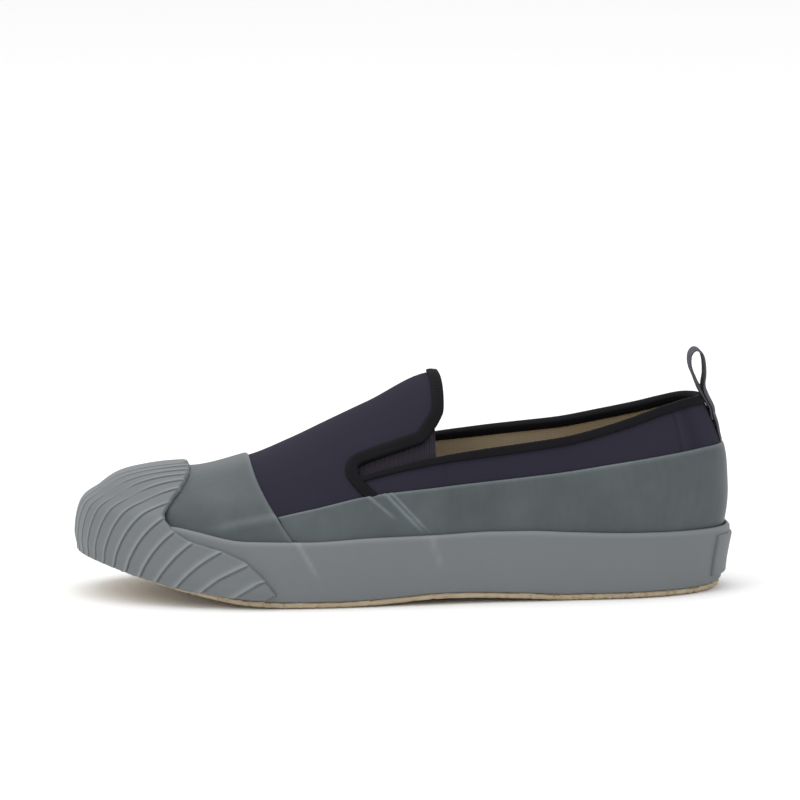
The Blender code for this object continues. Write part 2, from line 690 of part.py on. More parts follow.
def main():
    for obj in list(bpy.data.objects):
        bpy.data.objects.remove(obj)
    collection = bpy.data.collections.new("slip_on_sneaker")
    bpy.context.scene.collection.children.link(collection)
    centre_on_floor([
        make_outsole(),
        make_band(),
        make_toe_cap(),
        make_heel_tab(),
        make_upper(),
        make_vamp_panel(),
        make_side_panel(),
        make_gore("gore_lateral", -1),
        make_gore("gore_medial", 1),
        make_vamp_binding(),
        make_collar_binding(),
        make_pull_loop(),
        make_insole(),
    ])


main()
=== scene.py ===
"""Looks of the left slip-on sneaker, laid out as an add-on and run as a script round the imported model."""

from collections import namedtuple
from math import cos, pi, radians, sin

import bpy
import numpy as np
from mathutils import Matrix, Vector


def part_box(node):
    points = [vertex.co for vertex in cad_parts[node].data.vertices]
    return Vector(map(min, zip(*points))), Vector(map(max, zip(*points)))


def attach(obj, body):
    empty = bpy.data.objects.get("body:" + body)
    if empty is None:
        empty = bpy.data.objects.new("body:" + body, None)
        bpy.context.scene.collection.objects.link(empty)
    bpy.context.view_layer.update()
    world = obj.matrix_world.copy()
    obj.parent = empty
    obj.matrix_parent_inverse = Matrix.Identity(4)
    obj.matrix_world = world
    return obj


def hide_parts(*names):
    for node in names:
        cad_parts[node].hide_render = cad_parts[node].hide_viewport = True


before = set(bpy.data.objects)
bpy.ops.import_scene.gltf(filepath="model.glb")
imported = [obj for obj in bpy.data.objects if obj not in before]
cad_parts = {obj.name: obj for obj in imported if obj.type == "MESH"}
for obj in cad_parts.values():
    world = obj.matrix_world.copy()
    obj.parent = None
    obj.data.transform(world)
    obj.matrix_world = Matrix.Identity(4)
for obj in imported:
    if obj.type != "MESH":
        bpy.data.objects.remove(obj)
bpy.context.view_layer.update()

bl_info = {
    "name": "Slip-on sneaker",
    "version": (1, 0, 0),
    "blender": (4, 5, 0),
    "location": "View3D > Sidebar > Sneaker",
    "description": "Builds the cloth, rubber and tape of a slip-on sneaker round its solids",
    "category": "Add Mesh",
}

LAST_LENGTH = 0.277
END_POWER = 2.4
TOE_CENTRE = 0.233
HEEL_CENTRE = 0.036
CLEAR = 0.0003
THROAT = 0.1245
SLIT_FRONT = 0.1612
SEAM_AT_CROWN = 0.2066
SEAM_SWEEP = 0.0291
SEAM_POWER = 2.8
TOE_DENT = 0.02
HEEL_PINCH = 0.42
MEDIAL_LIFT = 0.0020
CROWN_EASE = 0.010
HEEL_BULGE = 0.0030
HEEL_UNDERCUT = 0.0025
CAP_TOP_GIRTH = 0.0560
CAP_WALL_GIRTH = 0.0220
CAP_FOOT = 0.0014
RIB_TILT = 8.4
RIB_EASE = 0.050
WELD = 2e-6
PANEL_ROUND = 0.0012
PANEL_BACK = 0.0001
CAP_ROUND = 0.0010
TAB_LOW = 0.0072
TAB_HIGH = 0.0258
TAB_REACH = 0.0062
TAB_ROUND = 0.0010
TREAD_PITCH = 0.0125
TREADS = ((0.016, 0.066), (0.150, 0.262))
SOLE_EDGE = ((0.0003, -0.0002), (0.0008, 0.0004), (0.0015, 0.0008), (0.0022, 0.0009), (0.0027, 0.0006))
FOOTBED_WALL = 0.0040
FOOTBED_CUP = 0.0022

Plan = namedtuple("Plan", "from_heel lateral medial swing")
PLAN = tuple(Plan(*row) for row in (
    (0.000, 0.0440, 0.0440, 0.0000),
    (0.040, 0.0415, 0.0415, 0.0000),
    (0.070, 0.0385, 0.0365, 0.0000),
    (0.100, 0.0385, 0.0340, 0.0000),
    (0.138, 0.0425, 0.0370, 0.0000),
    (0.175, 0.0480, 0.0455, 0.0002),
    (0.200, 0.0508, 0.0505, 0.0008),
    (0.230, 0.0520, 0.0520, 0.0025),
    (0.255, 0.0530, 0.0530, 0.0042),
    (0.277, 0.0540, 0.0540, 0.0055),
))

Profile = namedtuple("Profile", "from_heel ground feather crown fullness crown_shift")
PROFILE = tuple(Profile(*row) for row in (
    (-0.007, 0.0022, 0.0150, 0.0940, 4.0, 0.0000),
    (0.004, 0.0006, 0.0148, 0.0940, 4.0, 0.0000),
    (0.014, 0.0000, 0.0145, 0.0940, 4.0, 0.0000),
    (0.036, 0.0000, 0.0143, 0.0940, 3.8, 0.0000),
    (0.070, 0.0000, 0.0142, 0.0945, 2.5, 0.0000),
    (0.090, 0.0012, 0.0140, 0.0950, 2.1, 0.0010),
    (0.125, 0.0022, 0.0138, 0.0958, 1.9, 0.0025),
    (0.155, 0.0004, 0.0125, 0.0827, 1.9, 0.0030),
    (0.173, 0.0000, 0.0120, 0.0742, 2.0, 0.0025),
    (0.189, 0.0000, 0.0118, 0.0665, 2.1, 0.0018),
    (0.207, 0.0006, 0.0122, 0.0590, 2.3, 0.0010),
    (0.233, 0.0052, 0.0150, 0.0533, 2.8, 0.0000),
    (0.256, 0.0112, 0.0188, 0.0533, 3.0, 0.0000),
    (0.277, 0.0172, 0.0228, 0.0533, 3.0, 0.0000),
    (0.286, 0.0190, 0.0240, 0.0533, 3.0, 0.0000),
))

Lines = namedtuple("Lines", "from_heel collar panel_top band_top")
LINES = tuple(Lines(*row) for row in (
    (-0.007, 0.0845, 0.0645, 0.0290),
    (0.007, 0.0840, 0.0640, 0.0288),
    (0.022, 0.0815, 0.0622, 0.0288),
    (0.035, 0.0783, 0.0606, 0.0290),
    (0.050, 0.0744, 0.0588, 0.0294),
    (0.069, 0.0700, 0.0561, 0.0302),
    (0.088, 0.0674, 0.0540, 0.0311),
    (0.104, 0.0654, 0.0524, 0.0311),
    (0.125, 0.0624, 0.0505, 0.0304),
    (0.157, 0.0552, 0.0472, 0.0296),
    (0.184, 0.0480, 0.0416, 0.0284),
    (0.210, 0.0440, 0.0370, 0.0286),
    (0.241, 0.0430, 0.0360, 0.0340),
    (0.277, 0.0420, 0.0360, 0.0362),
    (0.286, 0.0420, 0.0360, 0.0362),
))

CapEdge = namedtuple("CapEdge", "from_heel height")
CAP_EDGE = tuple(CapEdge(*row) for row in (
    (0.2322, 0.0533),
    (0.2332, 0.0530),
    (0.2364, 0.0513),
    (0.2386, 0.0492),
    (0.2404, 0.0471),
    (0.2428, 0.0448),
    (0.2448, 0.0416),
    (0.2456, 0.0383),
    (0.2446, 0.0360),
    (0.2396, 0.0316),
    (0.2334, 0.0284),
    (0.2200, 0.0246),
    (0.2110, 0.0208),
    (0.2040, 0.0148),
    (0.1960, 0.0042),
))

# Pull loop above the collar: X and Z from the top of the strip on the heel, negative X towards the toe.
LOOP = (
    (-0.0023, 0.0053),
    (-0.0020, 0.0128),
    (-0.0027, 0.0183),
    (-0.0042, 0.0206),
    (-0.0060, 0.0215),
    (-0.0076, 0.0206),
    (-0.0088, 0.0183),
    (-0.0086, 0.0135),
    (-0.0060, 0.0079),
    (-0.0043, 0.0052),
)

# Flap tape from the side panel up round the front of a slit: from the heel and up, in the side view.
SLIT_TAPE = (
    (0.1520, 0.0455),
    (0.1560, 0.0493),
    (0.1600, 0.0532),
    (0.1624, 0.0562),
    (0.1626, 0.0592),
    (0.1600, 0.0614),
)

# Raised folds: both ends in the side view, from the heel and up, then height and half width.
Fold = namedtuple("Fold", "x0 z0 x1 z1 height width")
PANEL_FOLDS = tuple(Fold(*row) for row in (
    (0.1574, 0.0466, 0.1446, 0.0362, 0.0005, 0.0007),
    (0.1506, 0.0484, 0.1322, 0.0295, 0.0007, 0.0007),
    (0.1476, 0.0484, 0.1294, 0.0293, 0.0006, 0.0006),
))
VAMP_FOLDS = (Fold(0.1962, 0.0387, 0.2286, 0.0323, 0.0007, 0.0016),)
BAND_FOLDS = tuple(Fold(*row) for row in (
    (0.1892, 0.0285, 0.1794, 0.0119, 0.0006, 0.0009),
    (0.1310, 0.0295, 0.1262, 0.0141, 0.0004, 0.0011),
))


def length_property(name, description, default):
    """Size property in metres."""
    return bpy.props.FloatProperty(name=name, description=description, default=default, unit="LENGTH")


class SneakerSizes(bpy.types.PropertyGroup):
    """Sizes of the sneaker's layers."""

    upper_wall: length_property("Upper wall", "Thickness of cloth and lining", 0.0020)
    panel_wall: length_property("Panel wall", "Thickness of the coated panels", 0.0010)
    band_wall: length_property("Band wall", "Thickness of the rubber band", 0.0026)
    band_foot: length_property("Band foot", "Height of the band above the ground line", 0.0030)
    cap_wall: length_property("Cap wall", "Thickness of the toe cap", 0.0016)
    rib_pitch: length_property("Rib pitch", "Distance between the toe cap's ribs", 0.0074)
    rib_depth: length_property("Rib depth", "Step from one rib to the next", 0.0009)
    tape_wall: length_property("Tape wall", "Thickness of the edge tape", 0.0008)
    tape_depth: length_property("Tape depth", "How far the tape laps over an edge", 0.0043)
    webbing_width: length_property("Webbing width", "Width of the pull loop", 0.0130)
    webbing_wall: length_property("Webbing wall", "Thickness of the pull loop", 0.0010)
    tread_depth: length_property("Tread depth", "Depth of the tread's grooves", 0.0016)


def colour_property(name, description, *srgb):
    """Colour property whose default is given in display values of 0 to 255."""
    share = np.array(srgb) / 255
    linear = np.where(share <= 0.04045, share / 12.92, ((share + 0.055) / 1.055) ** 2.4)
    return bpy.props.FloatVectorProperty(
        name=name, description=description, subtype="COLOR", size=3, min=0, max=1, default=tuple(linear))


class SneakerColours(bpy.types.PropertyGroup):
    """Colours of the sneaker's finishes."""

    rubber: colour_property("Rubber", "Band, toe cap and heel tab", 103, 107, 109)
    panel: colour_property("Panels", "Coated vamp and side panels", 69, 76, 78)
    cloth: colour_property("Cloth", "Upper's cloth", 44, 42, 54)
    tape: colour_property("Tape", "Tape on the edges", 20, 20, 24)
    gore: colour_property("Gore", "Elastic in the slits", 54, 49, 58)
    webbing: colour_property("Webbing", "Pull loop", 92, 91, 98)
    gum: colour_property("Gum", "Outsole", 176, 160, 134)
    canvas: colour_property("Canvas", "Lining and footbed", 190, 175, 150)
    floor: colour_property("Floor", "Studio floor", 246, 246, 246)


def along(table, column, x):
    """Column of a table at x: a cubic Hermite curve, each slope the harmonic mean of those beside it."""
    knots = np.array([row.from_heel for row in table])
    values = np.array([getattr(row, column) for row in table])
    rate = np.diff(values) / np.diff(knots)
    before, after = rate[:-1], rate[1:]
    total = np.where(before + after == 0, 1, before + after)
    inner = np.where(before * after > 0, 2 * before * after / total, 0)
    slopes = np.concatenate([rate[:1], inner, rate[-1:]])
    x = np.clip(np.asarray(x, float), knots[0], knots[-1])
    i = np.clip(np.searchsorted(knots, x, side="right") - 1, 0, len(knots) - 2)
    step = knots[i + 1] - knots[i]
    t = (x - knots[i]) / step
    start = values[i] * (1 + 2 * t) * (1 - t) ** 2 + slopes[i] * step * t * (1 - t) ** 2
    end = values[i + 1] * (3 - 2 * t) * t**2 + slopes[i + 1] * step * (t - 1) * t**2
    return start + end


def ease(low, high, value):
    """Smooth step: 3t^2 - 2t^3 between low and high."""
    t = np.clip((value - low) / (high - low), 0, 1)
    return t * t * (3 - 2 * t)


def turn_at(x, side):
    """Turn round the last at a distance from the heel: arc cosine of the superellipse's length share.

    Side is -1 lateral, 1 medial.
    """
    c = 1 - 2 * np.asarray(x, float) / LAST_LENGTH
    c = np.clip(np.sign(c) * np.abs(c) ** (END_POWER / 2), -1, 1)
    return -side * np.arccos(c)


def feather(turn):
    """Feather line in plan, (distance from heel, y): a superellipse with the plan table's half widths."""
    c = np.cos(turn)
    x = LAST_LENGTH / 2 * (1 - np.sign(c) * np.abs(c) ** (2 / END_POWER))
    reach = np.abs(np.sin(turn)) ** (2 / END_POWER)
    lateral = np.sin(turn) >= 0
    half = np.where(lateral, along(PLAN, "lateral", x), along(PLAN, "medial", x))
    return x, along(PLAN, "swing", x) + np.where(lateral, -half, half) * reach


def crown_at(x):
    """Distance from the heel of the crown over x: x itself, eased at the heel centre, held at the toe's."""
    return np.minimum((x + HEEL_CENTRE + np.hypot(x - HEEL_CENTRE, CROWN_EASE)) / 2, TOE_CENTRE)


def heel_curve(x, z):
    """How far the heel stands back: undercut at the sole, out above the band and in again at the collar."""
    out = ease(0.004, 0.044, z) * (HEEL_BULGE + HEEL_UNDERCUT) - HEEL_UNDERCUT
    return (out - HEEL_BULGE * ease(0.056, 0.084, z)) * (1 - ease(0.0, 0.045, x))


def climb_at(x, rise):
    """Shares of the way in and up to the crown: a superellipse arc, dented over the toe to a shoulder."""
    power = 2 / along(PROFILE, "fullness", crown_at(x))
    angle = np.clip(rise, 0, 1) * pi / 2
    inset = 1 - np.abs(np.cos(angle)) ** power
    dent = TOE_DENT * ease(0.205, 0.240, x) * np.sin(pi * ease(0.08, 1.0, inset))
    return inset, np.abs(np.sin(angle)) ** power - dent


def skin_bare(turn, rise):
    """Outside of the upper before it is placed.

    Arcs from the feather line to the crown, straight down below that line, pinched at the heel's collar.
    """
    x, y = feather(turn)
    crown_x = crown_at(x)
    crown_y = along(PLAN, "swing", crown_x) + along(PROFILE, "crown_shift", crown_x)
    base = along(PROFILE, "feather", x)
    height = along(PROFILE, "crown", crown_x) - base
    inset, lift = climb_at(x, rise)
    z = base + height * (lift + np.minimum(rise, 0))
    pinch = HEEL_PINCH * ease(-0.030, 0.034, x) * (1 - ease(0.020, 0.098, x)) * ease(0.050, 0.088, z)
    width = (y - crown_y) * (1 - inset) * (1 - pinch)
    return np.stack([heel_curve(x, z) - x - (crown_x - x) * inset, crown_y + width, z], axis=-1)


def rise_at(turn, z):
    """Rise of the skin at a height z, found by halving; below the feather line it is the plain share."""
    x, _ = feather(turn)
    base = along(PROFILE, "feather", x)
    height = along(PROFILE, "crown", crown_at(x)) - base
    x, share = np.broadcast_arrays(x, (z - base) / height)
    low, high = np.zeros(share.shape), np.ones(share.shape)
    for _ in range(26):
        middle = (low + high) / 2
        below = climb_at(x, middle)[1] < share
        low, high = np.where(below, middle, low), np.where(below, high, middle)
    return np.where(share < 0, share, (low + high) / 2)


def find_place():
    """Shift from the tables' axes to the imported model: it lays the skin's middle on the upper's box."""
    low, high = (np.array(corner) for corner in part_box("upper"))
    bare = skin_bare(np.linspace(-pi, pi, 721)[:, None], np.linspace(0, 0.8, 81)[None, :])
    side = (low[1] + high[1] - bare[..., 1].min() - bare[..., 1].max()) / 2
    end = (low[0] + high[0] - bare[..., 0].min() - bare[..., 0].max()) / 2
    return np.array([end, side, 0.0])


PLACE = find_place()


def skin_frame(turn, rise):
    """Placed skin points with outward normals, the cross product of small steps up and round the skin."""
    turn, rise = np.broadcast_arrays(turn, rise)
    d = 1e-4
    upper, lower = np.minimum(rise + d, 1 - 1e-6), np.minimum(rise, 1 - 1e-6) - d
    up = skin_bare(turn, upper) - skin_bare(turn, lower)
    around = skin_bare(turn + d, lower) - skin_bare(turn - d, lower)
    normal = np.cross(up, around)
    size = np.linalg.norm(normal, axis=-1, keepdims=True)
    normal = np.where(size > 1e-14, normal / np.maximum(size, 1e-14), [0.0, 0.0, 1.0])
    return skin_bare(turn, rise) + PLACE, normal


def skin(turn, rise, lift):
    """Points lifted off the skin along its normals."""
    points, normal = skin_frame(turn, rise)
    return points + normal * np.broadcast_to(lift, points.shape[:-1])[..., None]


def edge(turn, z, out):
    """Points at a height z, moved straight out in plan from the feather line along its normal."""
    turn, z, out = np.broadcast_arrays(turn, z, out)
    d = 1e-4
    before, after = feather(turn - d), feather(turn + d)
    tx, ty = -(after[0] - before[0]), after[1] - before[1]
    size = np.hypot(tx, ty)
    x, y = feather(turn)
    return np.stack([heel_curve(x, z) - x - ty / size * out, y + tx / size * out, z], axis=-1) + PLACE


def round_turns(count):
    """Turns all the way round, drawn towards heel and toe, where the outline bends most."""
    turn = np.linspace(0, 2 * pi, count + 1)[:-1]
    return turn - 0.16 * np.sin(2 * turn)


def both_sides(x):
    """Turns from the heel along the lateral side to the toe and back along the medial side."""
    lateral, medial = turn_at(x, -1), turn_at(x[::-1], 1)
    return np.concatenate([lateral, medial[1:] + 2 * pi])


def spread(start, end, shares):
    """Grid of values running from start to end by the given shares."""
    shares = np.asarray(shares)[:, None]
    return np.asarray(start) * (1 - shares) + np.asarray(end) * shares


def packed(count, fine=0.004):
    """Shares from 0 to 1 with a few close ones at both ends, where a rounded edge needs them."""
    ends = fine * np.array([0.0, 0.06, 0.18, 0.36, 0.62])
    return np.concatenate([ends, np.linspace(fine, 1 - fine, count), 1 - ends[::-1]])


def rounded(distance, radius):
    """Quarter-round edge: height of a circle of that radius over its rim, 0 at the edge and 1 inside."""
    t = 1 - np.clip(distance / radius, 0, 1)
    return np.sqrt(1 - t * t)


def arc_lengths(points, axis):
    """Running length along one axis of a grid, in metres."""
    steps = np.linalg.norm(np.diff(points, axis=axis), axis=-1)
    return np.insert(np.cumsum(steps, axis=axis), 0, 0, axis=axis)


def flat_map(points):
    """UV of a grid in metres: length round the middle row, and length up each column."""
    middle = points[points.shape[0] // 2 : points.shape[0] // 2 + 1]
    u = np.broadcast_to(arc_lengths(middle, 1), points.shape[:2])
    return np.stack([u, arc_lengths(points, 0)], axis=-1)


def cells(index, keep=None):
    """Quads between neighbouring rows and columns of an index grid."""
    quads = np.stack([index[:-1, :-1], index[1:, :-1], index[1:, 1:], index[:-1, 1:]], axis=-1)
    return quads[keep] if keep is not None else quads.reshape(-1, 4)


def build_mesh(name, points, uv, groups, painted_highlight=None):
    """Mesh of quads whose coincident corners are welded, so that a quad that closes up turns to a triangle.

    Groups are (quads, material number).
    """
    spots = np.round(points / WELD).astype(np.int64)
    _, first, same = np.unique(spots, axis=0, return_index=True, return_inverse=True)
    same = same.ravel()
    corners, sources, sizes, slots = [], [], [], []
    for quads, slot in groups:
        welded = same[quads]
        shut = welded == np.roll(welded, -1, axis=1)
        count = shut.sum(axis=1)
        picks = [(count == 0, [0, 1, 2, 3])]
        picks += [((count == 1) & shut[:, k], [i for i in range(4) if i != k]) for k in range(4)]
        for pick, keep in picks:
            faces = welded[pick][:, keep]
            corners.append(faces.ravel())
            sources.append(quads[pick][:, keep].ravel())
            sizes.append(np.full(len(faces), len(keep)))
            slots.append(np.full(len(faces), slot))
    corners, sources = np.concatenate(corners), np.concatenate(sources)
    sizes, slots = np.concatenate(sizes), np.concatenate(slots)
    used, corners = np.unique(corners, return_inverse=True)
    mesh = bpy.data.meshes.new(name)
    mesh.vertices.add(len(used))
    mesh.vertices.foreach_set("co", points[first[used]].astype(np.float32).ravel())
    mesh.loops.add(len(corners))
    mesh.loops.foreach_set("vertex_index", corners.astype(np.int32).ravel())
    mesh.polygons.add(len(sizes))
    mesh.polygons.foreach_set("loop_start", np.insert(np.cumsum(sizes), 0, 0)[:-1].astype(np.int32))
    mesh.polygons.foreach_set("material_index", slots.astype(np.int32))
    mesh.update(calc_edges=True)
    layer = mesh.uv_layers.new(name="UVMap")
    layer.data.foreach_set("uv", uv[sources].astype(np.float32).ravel())
    # Per point strength of the painted highlight, read by the material.
    if painted_highlight is not None:
        layer = mesh.attributes.new("painted_highlight", "FLOAT", "POINT")
        layer.data.foreach_set("value", painted_highlight[first[used]].astype(np.float32))
    mesh.validate()
    mesh.shade_smooth()
    mesh.set_sharp_from_angle(angle=radians(48))
    return mesh


def place_piece(mesh, slot, nodes, *materials):
    """Object of a finished mesh that rides on the shoe and stands for the named solids."""
    for made in materials:
        mesh.materials.append(made)
    piece = bpy.data.objects.new(mesh.name, mesh)
    bpy.context.scene.collection.objects.link(piece)
    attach(piece, "root")
    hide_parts(*nodes)
    return piece


def shell(name, outer, inner, keep=None, inner_slot=0, painted_highlight=None):
    """Closed wall between two grids: both faces, and a rim wherever the outer face has an open edge."""
    count = outer.shape[0] * outer.shape[1]
    index = np.arange(count).reshape(outer.shape[:2])
    faces = cells(index, keep)
    points = np.concatenate([outer.reshape(-1, 3), inner.reshape(-1, 3)])
    uv = np.tile(flat_map(outer).reshape(-1, 2), (2, 1))
    spots = np.round(outer.reshape(-1, 3) / WELD).astype(np.int64)
    _, same = np.unique(spots, axis=0, return_inverse=True)
    same = same.ravel()
    a, b = faces.ravel(), np.roll(faces, -1, axis=1).ravel()
    forward, back = same[a] * count + same[b], same[b] * count + same[a]
    open_edge = ~np.isin(forward, back) & (same[a] != same[b])
    a, b = a[open_edge], b[open_edge]
    rim = np.stack([b, a, a + count, b + count], axis=1)
    if painted_highlight is not None:
        painted_highlight = np.tile(np.broadcast_to(painted_highlight, outer.shape[:2]).ravel(), 2)
    return build_mesh(name, points, uv, [(faces, 0), (faces[:, ::-1] + count, inner_slot), (rim, 0)], painted_highlight)


def tube(name, rings, closed=False, painted_highlight=None):
    """Closed body through rings of points, its ends shut at their rings' middles or joined to each other."""
    if closed:
        rings = np.concatenate([rings, rings[:1]])
    else:
        first = np.broadcast_to(rings[:1].mean(axis=1, keepdims=True), rings[:1].shape)
        last = np.broadcast_to(rings[-1:].mean(axis=1, keepdims=True), rings[-1:].shape)
        rings = np.concatenate([first, rings, last])
    rings = np.concatenate([rings, rings[:, :1]], axis=1)
    index = np.arange(rings.shape[0] * rings.shape[1]).reshape(rings.shape[:2])
    along_path = arc_lengths(rings.mean(axis=1, keepdims=True), 0)
    uv = np.stack([np.broadcast_to(along_path, rings.shape[:2]), arc_lengths(rings, 1)], axis=-1)
    if painted_highlight is not None:
        painted_highlight = np.pad(painted_highlight, ((0, 1), (0, rings.shape[1] - painted_highlight.shape[1]))).ravel()
    return build_mesh(name, rings.reshape(-1, 3), uv.reshape(-1, 2), [(cells(index), 0)], painted_highlight)


def folds(x, z, table):
    """Height of raised folds in the side view: a bell across each line, fading towards its second end."""
    total = np.zeros(np.broadcast(x, z).shape)
    for fold in table:
        dx, dz = fold.x1 - fold.x0, fold.z1 - fold.z0
        t = ((x - fold.x0) * dx + (z - fold.z0) * dz) / (dx * dx + dz * dz)
        off = np.hypot(x - fold.x0 - np.clip(t, 0, 1) * dx, z - fold.z0 - np.clip(t, 0, 1) * dz)
        total = total + fold.height * np.exp(-((off / fold.width) ** 2)) * (1 - ease(0.55, 1.05, t))
    return total


def slit_gap(x):
    """Height of the slit between collar and flap, wider at the throat."""
    return 0.0068 + 0.0028 * np.clip((SLIT_FRONT - x) / (SLIT_FRONT - THROAT), 0, 1)


def seam(rise):
    """Seam between vamp panel and side panel: it sweeps back as it comes down the side."""
    return SEAM_AT_CROWN - SEAM_SWEEP * (1 - rise) ** SEAM_POWER


def collar_at(turn):
    """Height of the collar's edge, which dips a little less on the medial side."""
    x, _ = feather(turn)
    medial = ease(0.030, 0.105, x) * (1 - ease(0.120, 0.157, x)) * (np.sin(turn) < 0)
    return along(LINES, "collar", x) + MEDIAL_LIFT * medial


def flap_low(x):
    """Height of the flap's lower edge, which turns up into the throat's rounded corner."""
    return along(LINES, "collar", x) + slit_gap(x) + 0.0024 * (1 - ease(THROAT, THROAT + 0.009, x))


def throat_at(share):
    """Distance from the heel of the flap's rear edge: a round corner, then a slight bulge to the crown."""
    return THROAT + 0.0034 * (1 - ease(0.0, 0.22, share)) - 0.0010 * np.sin(pi * share)


def band_face(share, sizes):
    """How far the band stands off the skin, by height: an undercut foot, a full middle and a rounded lip."""
    back = CLEAR * 2 + sizes.panel_wall
    foot = 0.55 * rounded(share, 0.30) + 0.45 * rounded(share, 0.035)
    lip = rounded(1 - share, 0.07)
    return back + sizes.band_wall * np.minimum(0.30 + 0.70 * foot, 0.25 + 0.75 * lip)


def rib_girth(rise):
    """Distance across the ribs from the crown down to a rise, over the toe's top and down its wall."""
    inset, lift = climb_at(np.full(np.shape(rise), TOE_CENTRE + 0.010), rise)
    return CAP_TOP_GIRTH * (1 - inset) + CAP_WALL_GIRTH * (1 - lift - np.minimum(rise, 0))


def rib_count(turn, rise):
    """Distance across the ribs from the middle one: the girth, fanned in at the toe and out on the wing."""
    x, _ = feather(turn)
    fan = np.sin(turn) / np.sin(turn_at(TOE_CENTRE, -1))
    wing = 1 + RIB_TILT * RIB_EASE * (1 - np.exp((x - TOE_CENTRE) / RIB_EASE))
    return rib_girth(rise) * np.where(x > TOE_CENTRE, fan, wing)


def rib_turn(across, rise):
    """Lateral turn where a rib crosses a rise, the inverse of the count across the ribs."""
    share = across / np.maximum(rib_girth(rise), 1e-7)
    fan = pi - np.arcsin(np.clip(share, 0, 1) * np.sin(turn_at(TOE_CENTRE, -1)))
    beyond = np.clip((share - 1) / (RIB_TILT * RIB_EASE), 0, 0.99)
    wing = turn_at(TOE_CENTRE + RIB_EASE * np.log(1 - beyond), -1)
    return np.where(share <= 1, fan, wing)


class Net:
    """Short calls for making and joining nodes in one tree."""

    def __init__(self, tree):
        self.tree = tree

    def node(self, kind, **inputs):
        """Node of a kind, its sockets set or linked by name. Lower-case keys are the node's own settings."""
        made = self.tree.nodes.new(kind)
        for key in [k for k in inputs if k[0].islower()]:
            setattr(made, key, inputs.pop(key))
        for key, value in inputs.items():
            self.join(made.inputs[key.replace("_", " ")], value)
        return made

    def join(self, socket, value):
        """Links an output to a socket, or sets the socket's own value."""
        if isinstance(value, bpy.types.NodeSocket):
            self.tree.links.new(value, socket)
        else:
            socket.default_value = value

    def math(self, operation, first, second=0.0, third=0.0):
        """Math node of one operation."""
        made = self.tree.nodes.new("ShaderNodeMath")
        made.operation = operation
        for socket, value in zip(made.inputs, (first, second, third)):
            self.join(socket, value)
        return made.outputs[0]

    def mix(self, share, first, second):
        """Colour between two colours."""
        made = self.tree.nodes.new("ShaderNodeMix")
        made.data_type = "RGBA"
        for key, value in ((0, share), (6, first), (7, second)):
            self.join(made.inputs[key], value)
        return made.outputs[2]


def new_group(name, inputs, outputs):
    """Empty shader node group with its sockets: (net, input node, output node)."""
    tree = bpy.data.node_groups.new(name, "ShaderNodeTree")
    kinds = {"value": "NodeSocketFloat", "vector": "NodeSocketVector", "colour": "NodeSocketColor"}
    for label, kind in inputs.items():
        tree.interface.new_socket(label, in_out="INPUT", socket_type=kinds[kind])
    for label, kind in outputs.items():
        tree.interface.new_socket(label, in_out="OUTPUT", socket_type=kinds[kind])
    return Net(tree), tree.nodes.new("NodeGroupInput"), tree.nodes.new("NodeGroupOutput")


def mottle_group():
    """Uneven colour: the colour times one plus two sizes of soft noise, the finer drawn out upright."""
    made = bpy.data.node_groups.get("mottle")
    if made:
        return made
    inputs = {"Vector": "vector", "Colour": "colour", "Size": "value", "Amount": "value"}
    net, given, out = new_group("mottle", inputs, {"Colour": "colour"})
    rate = net.math("DIVIDE", 1.0, given.outputs["Size"])
    coarse = net.node("ShaderNodeTexNoise", Vector=given.outputs["Vector"], Scale=rate, Detail=3.0)
    drawn = net.node("ShaderNodeVectorMath", operation="MULTIPLY", Vector=given.outputs["Vector"])
    drawn.inputs[1].default_value = (1.0, 1.0, 0.22)
    fine_rate = net.math("MULTIPLY", rate, 9.0)
    fine = net.node("ShaderNodeTexNoise", Vector=drawn.outputs[0], Scale=fine_rate, Detail=4.0)
    both = net.math("ADD", coarse.outputs[0], net.math("MULTIPLY", fine.outputs[0], 0.3))
    strength = net.math("MULTIPLY", given.outputs["Amount"], 2.0)
    share = net.math("MULTIPLY_ADD", net.math("SUBTRACT", both, 0.65), strength, 1.0)
    colour = given.outputs["Colour"]
    scaled = net.node("ShaderNodeVectorMath", operation="SCALE", Vector=colour, Scale=share)
    net.join(out.inputs["Colour"], scaled.outputs[0])
    return net.tree


def threads_group():
    """Woven threads on the piece's own map: sines along and across, with a zigzag for herringbone."""
    made = bpy.data.node_groups.get("threads")
    if made:
        return made
    inputs = {"Vector": "vector", "Along": "value", "Across": "value", "Twill": "value", "Zigzag": "value"}
    net, given, out = new_group("threads", inputs, {"Height": "value"})
    split = net.node("ShaderNodeSeparateXYZ", Vector=given.outputs["Vector"])
    u, v = split.outputs[0], split.outputs[1]
    fold = net.math("PINGPONG", v, given.outputs["Zigzag"])
    slant = net.math("MULTIPLY_ADD", fold, given.outputs["Twill"], u)
    warp = net.math("SINE", net.math("DIVIDE", net.math("MULTIPLY", slant, 2 * pi), given.outputs["Along"]))
    weft = net.math("SINE", net.math("DIVIDE", net.math("MULTIPLY", v, 2 * pi), given.outputs["Across"]))
    both = net.math("MULTIPLY_ADD", weft, 0.35, net.math("MULTIPLY", warp, 0.65))
    net.join(out.inputs["Height"], net.math("MULTIPLY_ADD", both, 0.5, 0.5))
    return net.tree


